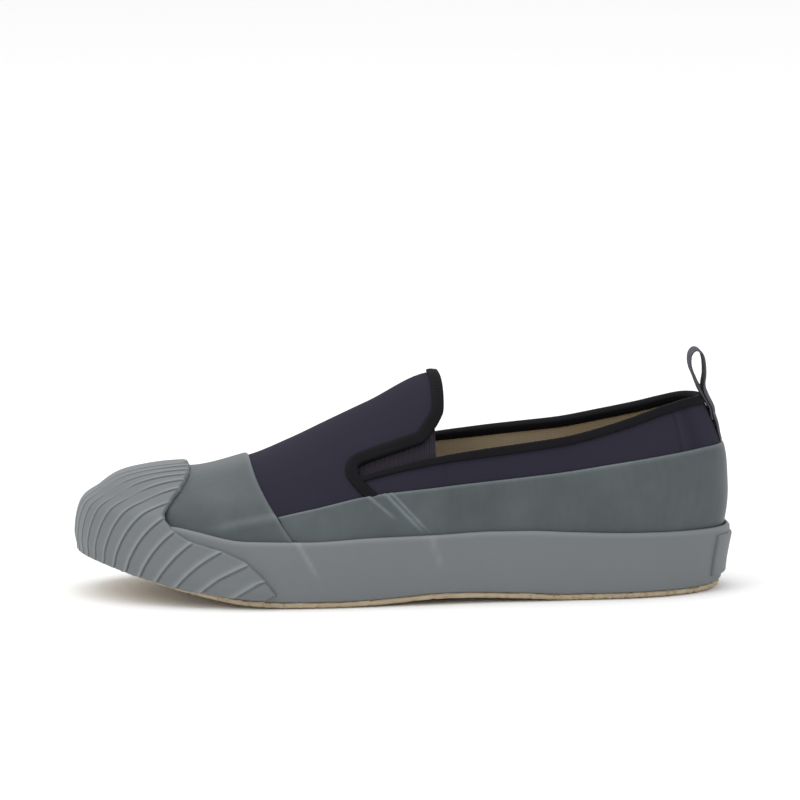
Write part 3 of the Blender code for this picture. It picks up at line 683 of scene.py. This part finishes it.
Mottle = namedtuple("Mottle", "size amount")
Grain = namedtuple("Grain", "scale depth")
Weave = namedtuple("Weave", "along across twill zigzag depth shade")
# The last field of a finish is how much lighter its painted highlight makes the colour.
Finish = namedtuple("Finish", "colour roughness gloss mottle grain weave pale")
PLAIN_GRAIN = Grain(1400.0, 0.00004)
FINISHES = {
    "grey_rubber": Finish("rubber", 0.55, 0.35, Mottle(0.04, 0.05), Grain(2200.0, 0.00003), None, 0.5),
    "coated_panel": Finish("panel", 0.46, 0.35, Mottle(0.026, 0.40), Grain(1500.0, 0.00004), None, 1.0),
    "gum_crepe": Finish("gum", 0.62, 0.35, Mottle(0.006, 0.14), Grain(900.0, 0.00012), None, 0.0),
    "pale_floor": Finish("floor", 0.80, 0.35, Mottle(0.5, 0.01), PLAIN_GRAIN, None, 0.0),
    "woven_navy": Finish(
        "cloth", 0.82, 0.08, Mottle(0.03, 0.06), PLAIN_GRAIN,
        Weave(0.00050, 0.00056, 0.0, 1.0, 0.00006, 0.25), 0.0),
    "grosgrain_tape": Finish(
        "tape", 0.72, 0.10, Mottle(0.01, 0.10), PLAIN_GRAIN,
        Weave(0.00085, 0.0040, 0.0, 1.0, 0.00016, 0.45), 0.0),
    "ribbed_elastic": Finish(
        "gore", 0.85, 0.10, Mottle(0.01, 0.06), PLAIN_GRAIN,
        Weave(0.0011, 0.0006, 0.0, 1.0, 0.00018, 0.45), 0.0),
    "herringbone_webbing": Finish(
        "webbing", 0.80, 0.10, Mottle(0.01, 0.08), PLAIN_GRAIN,
        Weave(0.0013, 0.0007, 1.0, 0.0032, 0.00022, 0.50), 0.0),
    "lining_canvas": Finish(
        "canvas", 0.90, 0.05, Mottle(0.02, 0.07), PLAIN_GRAIN,
        Weave(0.0009, 0.0009, 0.0, 1.0, 0.00010, 0.25), 0.0),
}


def finish(name):
    """Material of a finish: mottled colour, fine grain, threads where it is woven, and a painted highlight
    where the mesh marks one.
    """
    made = bpy.data.materials.get(name)
    if made:
        return made
    row = FINISHES[name]
    made = bpy.data.materials.new(name)
    made.use_nodes = True
    net = Net(made.node_tree)
    shader = made.node_tree.nodes["Principled BSDF"]
    where = net.node("ShaderNodeTexCoord")
    colour = getattr(bpy.context.scene.sneaker_colours, row.colour)
    uneven = net.node("ShaderNodeGroup", node_tree=mottle_group(), Vector=where.outputs["Object"],
                      Colour=(*colour, 1.0), Size=row.mottle.size, Amount=row.mottle.amount)
    tone = uneven.outputs["Colour"]
    speck = net.node(
        "ShaderNodeTexNoise", Vector=where.outputs["Object"], Scale=row.grain.scale, Detail=2.0)
    bump = net.node("ShaderNodeBump", Strength=1.0, Distance=row.grain.depth, Height=speck.outputs[0])
    if row.weave:
        weave = row.weave
        threads = net.node("ShaderNodeGroup", node_tree=threads_group(), Vector=where.outputs["UV"],
                           Along=weave.along, Across=weave.across, Twill=weave.twill, Zigzag=weave.zigzag)
        height = threads.outputs["Height"]
        dark = net.node("ShaderNodeVectorMath", operation="SCALE", Vector=tone, Scale=1.0 - weave.shade)
        tone = net.mix(height, dark.outputs[0], tone)
        bump = net.node("ShaderNodeBump", Strength=1.0, Distance=weave.depth, Height=height,
                        Normal=bump.outputs[0])
    # Painted highlight: the tone is lightened where the mesh marks a highlight, patchy with the grain noise.
    if row.pale:
        painted_highlight = net.node("ShaderNodeAttribute", attribute_name="painted_highlight")
        patchy = net.math("MULTIPLY_ADD", speck.outputs[0], 0.8, 0.6)
        share = net.math("MULTIPLY", painted_highlight.outputs["Fac"], patchy)
        bright = net.node("ShaderNodeVectorMath", operation="SCALE", Vector=tone, Scale=1.0 + row.pale)
        tone = net.mix(share, tone, bright.outputs[0])
    rough = net.node("ShaderNodeMapRange", Value=speck.outputs[0])
    rough.inputs["To Min"].default_value = row.roughness - 0.05
    rough.inputs["To Max"].default_value = row.roughness + 0.05
    net.join(shader.inputs["Base Color"], tone)
    net.join(shader.inputs["Roughness"], rough.outputs[0])
    net.join(shader.inputs["Normal"], bump.outputs[0])
    shader.inputs["Specular IOR Level"].default_value = row.gloss
    return made


class PieceOperator(bpy.types.Operator):
    """Shared settings of the operators that build pieces."""

    bl_options = {"REGISTER", "UNDO"}

    @property
    def sizes(self):
        return bpy.context.scene.sneaker_sizes

    def execute(self, context):
        self.make()
        return {"FINISHED"}


class SNEAKER_OT_upper(PieceOperator):
    """Cloth upper with its canvas lining, open at the collar and at the slits"""

    bl_idname = "sneaker.upper"
    bl_label = "Upper"

    def make(self):
        x = LAST_LENGTH / 2 * (1 - np.cos(np.linspace(0, pi, 150)))
        x[np.argmin(np.abs(x - THROAT))] = THROAT
        x[np.argmin(np.abs(x - SLIT_FRONT))] = SLIT_FRONT
        turn = both_sides(x)
        distance, _ = feather(turn)
        collar = rise_at(turn, collar_at(turn))
        flap = rise_at(turn, flap_low(distance))
        wall_rows = 26
        flap_shares = np.linspace(0, 1, 27)
        wall_rises = spread(np.zeros_like(turn), collar, np.linspace(0, 1, wall_rows))
        rises = np.concatenate([wall_rises, spread(flap, np.ones_like(turn), flap_shares)])
        near = (1 - ease(THROAT, THROAT + 0.03, distance)) * (distance > THROAT - 1e-6)
        shift = np.concatenate([np.zeros(wall_rows), throat_at(flap_shares) - THROAT])[:, None] * near
        side = np.where(np.sin(turn) >= 0, -1, 1)
        moved = turn_at(distance + shift, -1)
        turns = np.where(shift != 0, np.where(side < 0, moved, 2 * pi - moved), turn)
        middle = ((distance[:-1] + distance[1:]) / 2)[None, :]
        row = np.arange(rises.shape[0] - 1)[:, None]
        slit = wall_rows - 1
        keep = (row < slit) | ((row == slit) & (middle > SLIT_FRONT)) | ((row > slit) & (middle > THROAT))
        outer, inner = skin(turns, rises, 0.0), skin(turns, rises, -self.sizes.upper_wall)
        mesh = shell("upper_cloth", outer, inner, keep, inner_slot=1)
        place_piece(mesh, "navy_cloth", ["upper"], finish("woven_navy"), finish("lining_canvas"))


class SNEAKER_OT_panels(PieceOperator):
    """Coated panels: one over the toe box, one round the sides and the heel"""

    bl_idname = "sneaker.panels"
    bl_label = "Coated panels"

    def make(self):
        wall = self.sizes.panel_wall
        share = packed(60, 0.05)[:, None]
        reach = np.concatenate([np.linspace(0, 1, 161), np.linspace(0.70, 0.90, 140)])
        reach = np.unique(np.concatenate([-reach, reach]))[None, :]
        rise = 0.36 * share
        for _ in range(5):
            front = seam(rise)
            rise = share * rise_at(turn_at(front, -1), along(LINES, "panel_top", front))
        turn = turn_at(front - 0.0005, -1) * reach
        distance, _ = feather(turn)
        z = along(PROFILE, "feather", distance) * (1 - share) + along(LINES, "panel_top", distance) * share
        rises = rise_at(turn, z)
        below_top, behind_seam = (1 - share) * 0.036, (1 - np.abs(reach)) * 0.25
        soft = rounded(below_top, PANEL_ROUND) * rounded(behind_seam, PANEL_ROUND)
        fold = folds(distance, z, PANEL_FOLDS)
        lift = CLEAR + wall * (0.15 + 0.85 * soft) + fold
        # Painted highlight along the panel's folds and its raised top edge.
        painted_highlight = np.clip(fold / 0.0006 + 0.5 * (1 - ease(0.0004, 0.0016, below_top)), 0, 1)
        outer, inner = skin(turn, rises, lift), skin(turn, rises, PANEL_BACK)
        mesh = shell("side_panel_coated", outer, inner, painted_highlight=painted_highlight)
        place_piece(mesh, "panel_coating", ["side_panel"], finish("coated_panel"))

        rises = np.linspace(0, 1, 70)[:, None]
        start = turn_at(seam(rises), -1)
        reach = np.concatenate([np.array([1, 0.9985, 0.996, 0.992, 0.985]), np.linspace(0.975, 0, 130)])
        reach = np.concatenate([-reach, reach[-2::-1]])[None, :]
        turn = pi + reach * (pi - start)
        distance, _ = feather(turn)
        z = skin_bare(turn, np.broadcast_to(rises, turn.shape))[..., 2]
        before_seam = (1 - np.abs(reach)) * 0.09
        fold = folds(distance, z, VAMP_FOLDS)
        lift = CLEAR + wall * (0.15 + 0.95 * rounded(before_seam, PANEL_ROUND)) + fold
        # Painted highlight along the fold and the raised rim at the seam.
        painted_highlight = np.clip(0.45 * fold / 0.0007 + 0.4 * (1 - ease(0.0004, 0.0016, before_seam)), 0, 1)
        outer, inner = skin(turn, rises, lift), skin(turn, rises, PANEL_BACK)
        mesh = shell("vamp_panel_coated", outer, inner, painted_highlight=painted_highlight)
        place_piece(mesh, "panel_coating", ["vamp_panel"], finish("coated_panel"))


class SNEAKER_OT_band(PieceOperator):
    """Rubber band round the shoe"""

    bl_idname = "sneaker.band"
    bl_label = "Rubber band"

    def make(self):
        turn = round_turns(720)
        distance, _ = feather(turn)
        foot = along(PROFILE, "ground", distance) + self.sizes.band_foot
        top = along(LINES, "band_top", distance)
        shares = packed(26, 0.035)
        z = foot + (top - foot) * shares[:, None]
        rises = rise_at(turn, z)
        fold = folds(distance, z, BAND_FOLDS)
        lift = band_face(shares, self.sizes)[:, None] + fold
        face = skin(turn, rises, lift)
        back = skin(turn, rises[::6], CLEAR * 2 + self.sizes.panel_wall)
        rings = np.concatenate([face, back[::-1]]).transpose(1, 0, 2)
        # Painted highlight along the folds and the rounded top lip.
        painted_highlight = 0.7 * fold / 0.0006 + 0.35 * ease(0.90, 0.98, shares)[:, None]
        mesh = tube("rubber_band", rings, closed=True, painted_highlight=np.clip(painted_highlight, 0, 1).T)
        place_piece(mesh, "band_rubber", ["foxing_band"], finish("grey_rubber"))


class SNEAKER_OT_toe_cap(PieceOperator):
    """Ribbed toe cap with its wings"""

    bl_idname = "sneaker.toe_cap"
    bl_label = "Toe cap"

    def make(self):
        sizes = self.sizes
        rows = np.linspace(0, len(CAP_EDGE) - 1, 421)
        from_heel = np.interp(rows, np.arange(len(CAP_EDGE)), [row.from_heel for row in CAP_EDGE])
        height = np.interp(rows, np.arange(len(CAP_EDGE)), [row.height for row in CAP_EDGE])
        edge_turn = turn_at(from_heel, -1)
        edge_rise = rise_at(edge_turn, height)
        edge_across = rib_count(edge_turn, edge_rise)
        foot_turn = np.linspace(pi, edge_turn[-1], 300)
        foot_x, _ = feather(foot_turn)
        foot = sizes.band_foot + 0.0006 + (CAP_FOOT - sizes.band_foot - 0.0006) * ease(0.205, 0.245, foot_x)
        foot_rise = rise_at(foot_turn, along(PROFILE, "ground", foot_x) + foot)
        foot_across = rib_count(foot_turn, foot_rise)
        widest = min(edge_across[-1], foot_across[-1]) * 0.985
        phase = np.array([0.0, 0.02, 0.045, 0.08, 0.16, 0.30, 0.46, 0.62, 0.76, 0.87, 0.93, 0.965])
        across = ((np.arange(-1, 20)[:, None] + 0.5 + phase) * sizes.rib_pitch).ravel()
        across = np.concatenate([[0.0], across[(across > 1e-5) & (across < widest)], [widest]])
        step = (across / sizes.rib_pitch + 0.5) % 1
        rib = np.where(step < 0.93, ease(0.0, 0.11, step) * (0.6 + 0.43 * step), 1 - ease(0.93, 1.0, step))
        top = np.interp(across, edge_across, edge_rise)
        low = np.interp(across, foot_across, foot_rise)
        shares = packed(70, 0.03)[:, None]
        rise = low + (top - low) * shares
        turn = rib_turn(np.broadcast_to(across, rise.shape), rise)
        x, _ = feather(turn)
        z = skin_bare(turn, rise)[..., 2]
        band_top = along(LINES, "band_top", x)
        over_band = 1 - ease(band_top + 0.001, band_top + 0.008, z)
        foot = along(PROFILE, "ground", x) + sizes.band_foot
        undercut = 0.0010 * (1 - ease(foot, foot + 0.006, z))
        back = CLEAR * 2 + sizes.panel_wall + sizes.band_wall * over_band - undercut
        ahead = np.abs(np.cos(turn))
        shoulder = np.exp(-(((rise - 0.45) / 0.10) ** 2))
        bend = (1 - 0.75 * shoulder * ease(0.55, 0.95, ahead)) * (1 - 0.35 * ease(0.80, 0.97, ahead))
        length = arc_lengths(skin(turn, rise, 0.0), 0)
        soft = rounded(length[-1] - length, CAP_ROUND) * rounded(length, CAP_ROUND)
        soft = soft * rounded(widest - across, CAP_ROUND)
        lift = back + sizes.cap_wall * (0.1 + 0.9 * soft) + sizes.rib_depth * rib * bend * soft
        outer = np.concatenate([skin(turn, rise, lift)[:, :0:-1], skin(2 * pi - turn, rise, lift)], axis=1)
        inner = np.concatenate([skin(turn, rise, back)[:, :0:-1], skin(2 * pi - turn, rise, back)], axis=1)
        # Painted highlight on the raised lip of each rib, just before it steps down to the next.
        lip = ease(0.70, 0.90, step) * (1 - ease(0.93, 0.97, step)) * bend
        painted_highlight = np.concatenate([lip[:, :0:-1], lip], axis=1)
        mesh = shell("ribbed_toe_cap", outer, inner, painted_highlight=painted_highlight)
        place_piece(mesh, "band_rubber", ["toe_cap"], finish("grey_rubber"))


class SNEAKER_OT_heel_tab(PieceOperator):
    """Bare raised plate at the back of the band"""

    bl_idname = "sneaker.heel_tab"
    bl_label = "Heel tab"

    def make(self):
        reach, share = packed(60, 0.05) * 2 - 1, packed(24, 0.08)
        turn = (reach * turn_at(TAB_REACH, -1))[None, :]
        z = (TAB_LOW + (TAB_HIGH - TAB_LOW) * share)[:, None]
        upright = rounded(share * 0.018, TAB_ROUND) * rounded((1 - share) * 0.018, TAB_ROUND)
        soft = rounded((1 - np.abs(reach)) * 0.022, TAB_ROUND)[None, :] * upright[:, None]
        turn, z = np.broadcast_arrays(turn, z)
        back = CLEAR * 2 + self.sizes.panel_wall + self.sizes.band_wall - 0.0004
        rises = rise_at(turn, z)
        outer, inner = skin(turn, rises, back + 0.0004 + 0.0014 * soft), skin(turn, rises, back)
        place_piece(shell("heel_plate", outer, inner), "band_rubber", ["heel_tab"], finish("grey_rubber"))


class SNEAKER_OT_gores(PieceOperator):
    """Elastic gores behind the slits"""

    bl_idname = "sneaker.gores"
    bl_label = "Gores"

    def make(self):
        for name, side in (("gore_lateral", -1), ("gore_medial", 1)):
            x = np.linspace(THROAT + 0.0025, SLIT_FRONT + 0.004, 121)[None, :]
            turn = turn_at(x[:, ::-side], side)
            x, _ = feather(turn)
            collar = along(LINES, "collar", x)
            low, high = rise_at(turn, collar - 0.0115), rise_at(turn, collar + slit_gap(x) + 0.008)
            rise = spread(low[0], high[0], np.linspace(0, 1, 30))
            ripple = 0.00012 * np.sin(2 * pi * x / 0.0022)
            under = -self.sizes.upper_wall - 0.0006 - ripple
            outer, inner = skin(turn, rise, under), skin(turn, rise, under - 0.0012)
            mesh = shell(name + "_elastic", outer, inner)
            place_piece(mesh, "gore_elastic", [name], finish("ribbed_elastic"))


def fold_over(turn, rise, into, depth, sizes):
    """Rings of a tape folded over an edge: a rounded U across the skin's normal and the way into the cloth.

    Into is 1 or -1, the side of the path that the cloth is on.
    """
    points, normal = skin_frame(turn, rise)
    tangent = np.gradient(points, axis=0)
    tangent /= np.linalg.norm(tangent, axis=-1, keepdims=True)
    inward = np.cross(normal, tangent) * into
    inward /= np.linalg.norm(inward, axis=-1, keepdims=True)
    out, wall = CLEAR, sizes.tape_wall
    back = -sizes.upper_wall - CLEAR
    half = (out - back) / 2 + wall
    middle = (out + back) / 2
    arc = np.linspace(pi / 2, -pi / 2, 11)
    lip = np.array([[out + 0.05 * wall, 1.0], [out + 0.50 * wall, 0.99], [out + 0.85 * wall, 0.93],
                    [out + 1.15 * wall, 0.75], [out + 1.25 * wall, 0.50], [out + 1.10 * wall, 0.20]])
    fold = np.stack([middle + half * np.sin(arc), -0.55 * half * np.cos(arc)], axis=1)
    inner = lip[::-1] * [-1, 1] + [2 * middle, 0]
    inside = np.array([[back, -0.0002], [out, -0.0002]])
    outline = np.concatenate([lip, fold, inner, inside])
    reach = np.where(outline[:, 1] > 0, outline[:, 1] * np.reshape(depth, (-1, 1)), outline[:, 1])
    return points[:, None] + normal[:, None] * outline[None, :, :1] + inward[:, None] * reach[..., None]


def smooth_path(points, count, passes=2):
    """Even points along a polyline whose corners are cut, a quarter from both ends of each piece."""
    for _ in range(passes):
        near, far = points[:-1] * 0.75 + points[1:] * 0.25, points[:-1] * 0.25 + points[1:] * 0.75
        middle = np.stack([near, far], axis=1).reshape(-1, points.shape[1])
        points = np.concatenate([points[:1], middle, points[-1:]])
    length = np.insert(np.cumsum(np.linalg.norm(np.diff(points, axis=0), axis=1)), 0, 0)
    even = np.linspace(0, length[-1], count)
    return np.stack([np.interp(even, length, column) for column in points.T], axis=1)


class SNEAKER_OT_bindings(PieceOperator):
    """Grosgrain tape over the collar, and over the flap and round the front of each slit"""

    bl_idname = "sneaker.bindings"
    bl_label = "Edge tapes"

    def make(self):
        round_heel = 0.02 * np.linspace(0.95, 0, 30) ** 1.6
        x = np.concatenate([np.linspace(SLIT_FRONT - 0.0005, 0.02, 60), round_heel])
        turn = turn_at(x, -1)
        turn = np.concatenate([turn, -turn[-2::-1]])
        distance, _ = feather(turn)
        depth = 0.0018 + 0.0014 * (1 - ease(0.10, 0.15, distance))
        rings = fold_over(turn, rise_at(turn, collar_at(turn)), -1, depth, self.sizes)
        place_piece(tube("collar_tape", rings), "black_tape", ["collar_binding"], finish("grosgrain_tape"))

        x = np.linspace(0.1560, THROAT + 0.008, 8)
        side_view = np.concatenate([SLIT_TAPE, np.stack([x, flap_low(x)], axis=1)])
        low_turn = turn_at(side_view[:, 0], -1)
        low = np.stack([side_view[:, 0], rise_at(low_turn, side_view[:, 1])], axis=1)
        shares = np.linspace(0.06, 1, 16)
        corner = rise_at(turn_at(THROAT, -1), flap_low(THROAT))
        rear = np.stack([throat_at(shares), corner + (1 - corner) * shares], axis=1)
        path = smooth_path(np.concatenate([low, rear]) * [20, 1], 160) / [20, 1]
        turn = turn_at(path[:, 0], -1)
        turn, rise = np.concatenate([turn, -turn[-2::-1]]), np.concatenate([path[:, 1], path[-2::-1, 1]])
        rings = fold_over(turn, rise, 1, self.sizes.tape_depth, self.sizes)
        place_piece(tube("flap_tape", rings), "black_tape", ["vamp_binding"], finish("grosgrain_tape"))


class SNEAKER_OT_pull_loop(PieceOperator):
    """Webbing sewn up the heel, looped over the collar and sewn down inside"""

    bl_idname = "sneaker.pull_loop"
    bl_label = "Pull loop"

    def make(self):
        sizes = self.sizes
        start, collar = along(LINES, "panel_top", 0.0) + 0.0008, along(LINES, "collar", 0.0)
        up, down = np.linspace(start, collar - 0.002, 12), np.linspace(collar - 0.001, start + 0.009, 8)
        z = np.concatenate([up, down])
        over_tape = (CLEAR + sizes.tape_wall) * ease(collar - 0.009, collar - 0.006, z)
        out = PANEL_BACK + sizes.webbing_wall / 2 + over_tape
        out[:len(up)] += (sizes.webbing_wall + PANEL_BACK) * ease(start + 0.001, start + 0.009, up)
        heel = np.zeros(len(z))
        strip = skin(heel, rise_at(heel, z), out)[:, [0, 2]]
        climb, tail = strip[:len(up)], strip[len(up):]
        path = smooth_path(np.concatenate([climb, climb[-1] + np.array(LOOP), tail]), 220)
        tangent = np.gradient(path, axis=0)
        tangent /= np.linalg.norm(tangent, axis=1, keepdims=True)
        normal = np.stack([tangent[:, 1], -tangent[:, 0]], axis=1)
        angle = np.linspace(0, 2 * pi, 41)[:-1]
        across = np.sign(np.cos(angle)) * np.abs(np.cos(angle)) ** 0.35 * sizes.webbing_width / 2
        thick = np.sign(np.sin(angle)) * np.abs(np.sin(angle)) ** 0.7 * sizes.webbing_wall / 2
        level = np.clip(path[:, 1], start, collar)
        on_heel, beside = np.zeros(len(path)), np.full(len(path), 0.16)
        middle = skin(on_heel, rise_at(on_heel, level), 0.0)
        off = skin(beside, rise_at(beside, level), 0.0)
        bend = (middle[:, 0] - off[:, 0]) / (middle[:, 1] - off[:, 1]) ** 2
        bend = bend * (1 - ease(0.086, 0.094, path[:, 1]))
        hug = bend[:, None] * across**2
        rings = np.stack([
            path[:, :1] + normal[:, :1] * thick - hug,
            np.broadcast_to(across, hug.shape) + PLACE[1],
            path[:, 1:] + normal[:, 1:] * thick,
        ], axis=-1)
        mesh = tube("webbing_loop", rings)
        place_piece(mesh, "grey_webbing", ["pull_loop"], finish("herringbone_webbing"))


def stacked(name, rows, flat=False):
    """Closed body of rings laid one on another, from point to point, mapped by length, or in plan if flat."""
    grid = np.stack(rows)
    grid = np.concatenate([grid, grid[:, :1]], axis=1)
    index = np.arange(grid.shape[0] * grid.shape[1]).reshape(grid.shape[:2])
    uv = grid[..., :2] if flat else flat_map(grid)
    return build_mesh(name, grid.reshape(-1, 3), uv.reshape(-1, 2), [(cells(index), 0)])


def fan_out(turn, share, out):
    """Points of the sole in plan: a share of the way from the shoe's middle line to its edge."""
    rim = edge(turn, 0.0, out)
    x, _ = feather(turn)
    middle_x = np.clip(x, 0.045, 0.232)
    middle = np.stack([-middle_x, along(PLAN, "swing", middle_x), np.zeros_like(x)], axis=-1) + PLACE
    return middle + (rim - middle) * share


def tread(points, depth):
    """Depth of the tread: wide grooves across heel and ball, and a wavy ripple over the rest of the sole."""
    x, y = PLACE[0] - points[..., 0], points[..., 1]
    bent = x + 0.0016 * np.cos(2 * pi * y / 0.020)
    total = 0.45 * depth * (0.5 + 0.5 * np.sin(2 * pi * bent / 0.0050))
    for low, high in TREADS:
        phase = (x - low) % TREAD_PITCH
        within = (x > low) & (x < high - 0.0075)
        groove = ease(0.0, 0.0008, phase) * (1 - ease(0.0034, 0.0042, phase)) * within
        total = np.maximum(total, depth * groove)
    return total


class SNEAKER_OT_outsole(PieceOperator):
    """Gum outsole with its tread and its rough edge"""

    bl_idname = "sneaker.outsole"
    bl_label = "Outsole"

    def make(self):
        sizes = self.sizes
        turn = round_turns(900)
        x, _ = feather(turn)
        ground = along(PROFILE, "ground", x)
        rows = []
        for share in np.linspace(0, 1, 46):
            row = fan_out(turn, share, -0.0012)
            row_ground = along(PROFILE, "ground", PLACE[0] - row[..., 0])
            row[..., 2] = row_ground + tread(row, sizes.tread_depth) * (1 - 0.35 * ease(0.93, 1.0, share))
            rows.append(row)
        length = arc_lengths(edge(turn, 0.0, 0.0), 0)
        rough = 0.00030 * np.sin(2 * pi * length / 0.0031 + 2 * np.sin(length / 0.011))
        rough = rough + 0.00022 * np.sin(2 * pi * length / 0.0047 + 1.0)
        side = CLEAR * 2 + sizes.panel_wall
        for height, out in SOLE_EDGE:
            crumb = rough * np.cos(2 * pi * (length / 0.0019 + height / 0.0021))
            rows.append(edge(turn, ground + height + 0.3 * np.abs(crumb), side + out + rough + crumb))
        rows.append(edge(turn, ground + sizes.band_foot - 0.0001, side - 0.0012))
        top = along(PROFILE, "feather", x) - CLEAR
        rows.append(edge(turn, top, side - CLEAR * 2))
        for share in (0.8, 0.4, 0.0):
            row = fan_out(turn, share, 0.0)
            row[..., 2] = along(PROFILE, "feather", PLACE[0] - row[..., 0]) - CLEAR
            rows.append(row)
        mesh = stacked("gum_outsole", rows)
        place_piece(mesh, "gum_rubber", ["outsole"], finish("gum_crepe"))


class SNEAKER_OT_insole(PieceOperator):
    """Canvas footbed, cupped at its rim"""

    bl_idname = "sneaker.insole"
    bl_label = "Footbed"

    def make(self):
        turn = round_turns(360)
        inside = -self.sizes.upper_wall - 0.0004
        rows = []
        top = np.linspace(0, 1, 30)
        shares = np.concatenate([[0.0, 1.0], top[::-1]])
        heights = np.concatenate([[0.0, 0.0], FOOTBED_WALL + FOOTBED_CUP * ease(0.80, 1.0, top[::-1])])
        for share, height in zip(shares, heights):
            row = fan_out(turn, share, inside)
            row[..., 2] = along(PROFILE, "feather", PLACE[0] - row[..., 0]) + CLEAR + height
            rows.append(row)
        mesh = stacked("canvas_footbed", rows, flat=True)
        place_piece(mesh, "canvas", ["insole"], finish("lining_canvas"))


# Lights: name, place, side of the square, power
LIGHTS = (("key_light", (-1.2, -0.7, 1.6), 1.2, 8.5), ("top_light", (-0.1, 0.1, 2.0), 1.6, 13.0))
CAMERA_AZIMUTH = -4.6
CAMERA_ELEVATION = 8.3
CAMERA_DISTANCE = 3.0
CAMERA_AIM = (-0.0018, 0.0, 0.0836)
CAMERA_LENS = 308.0
CAMERA_SENSOR = 36.0


class SNEAKER_OT_stage(PieceOperator):
    """Pale floor, soft studio light and the camera"""

    bl_idname = "sneaker.stage"
    bl_label = "Stage"

    def make(self):
        scene = bpy.context.scene
        mesh = bpy.data.meshes.new("studio_floor")
        mesh.from_pydata([(-6, -6, 0), (6, -6, 0), (6, 6, 0), (-6, 6, 0)], [], [(0, 1, 2, 3)])
        mesh.materials.append(finish("pale_floor"))
        floor = bpy.data.objects.new("studio_floor", mesh)
        scene.collection.objects.link(floor)

        world = bpy.data.worlds.new("studio")
        world.use_nodes = True
        world.node_tree.nodes["Background"].inputs["Color"].default_value = (1.0, 1.0, 1.0, 1.0)
        world.node_tree.nodes["Background"].inputs["Strength"].default_value = 1.0
        scene.world = world
        scene.view_settings.view_transform = "Standard"

        for name, place, size, power in LIGHTS:
            data = bpy.data.lights.new(name, "AREA")
            data.shape, data.size, data.energy = "SQUARE", size, power
            light = bpy.data.objects.new(name, data)
            light.location = place
            light.rotation_mode = "QUATERNION"
            light.rotation_quaternion = (-Vector(place)).to_track_quat("-Z", "Y")
            scene.collection.objects.link(light)

        turn, lift = radians(CAMERA_AZIMUTH), radians(CAMERA_ELEVATION)
        back = Vector((sin(turn) * cos(lift), -cos(turn) * cos(lift), sin(lift)))
        data = bpy.data.cameras.new("studio_camera")
        data.lens, data.sensor_width = CAMERA_LENS, CAMERA_SENSOR
        camera = bpy.data.objects.new("studio_camera", data)
        camera.location = Vector(CAMERA_AIM) + back * CAMERA_DISTANCE
        camera.rotation_mode = "QUATERNION"
        camera.rotation_quaternion = (-back).to_track_quat("-Z", "Y")
        scene.collection.objects.link(camera)
        scene.camera = camera


PIECES = (
    SNEAKER_OT_upper, SNEAKER_OT_panels, SNEAKER_OT_band, SNEAKER_OT_toe_cap, SNEAKER_OT_heel_tab,
    SNEAKER_OT_gores, SNEAKER_OT_bindings, SNEAKER_OT_pull_loop, SNEAKER_OT_outsole, SNEAKER_OT_insole,
    SNEAKER_OT_stage,
)


class SNEAKER_PT_panel(bpy.types.Panel):
    """Sidebar panel with the sizes, the colours and a button for each piece"""

    bl_idname = "SNEAKER_PT_panel"
    bl_label = "Slip-on sneaker"
    bl_space_type = "VIEW_3D"
    bl_region_type = "UI"
    bl_category = "Sneaker"

    def draw(self, context):
        for group in (context.scene.sneaker_sizes, context.scene.sneaker_colours):
            box = self.layout.box()
            for name in group.__annotations__:
                box.prop(group, name)
        for piece in PIECES:
            self.layout.operator(piece.bl_idname)


CLASSES = (SneakerSizes, SneakerColours, *PIECES, SNEAKER_PT_panel)


def register():
    for made in CLASSES:
        bpy.utils.register_class(made)
    bpy.types.Scene.sneaker_sizes = bpy.props.PointerProperty(type=SneakerSizes)
    bpy.types.Scene.sneaker_colours = bpy.props.PointerProperty(type=SneakerColours)


def unregister():
    del bpy.types.Scene.sneaker_sizes
    del bpy.types.Scene.sneaker_colours
    for made in reversed(CLASSES):
        bpy.utils.unregister_class(made)


def main():
    register()
    for piece in PIECES:
        getattr(bpy.ops.sneaker, piece.bl_idname.split(".")[1])()


if __name__ == "__main__":
    main()
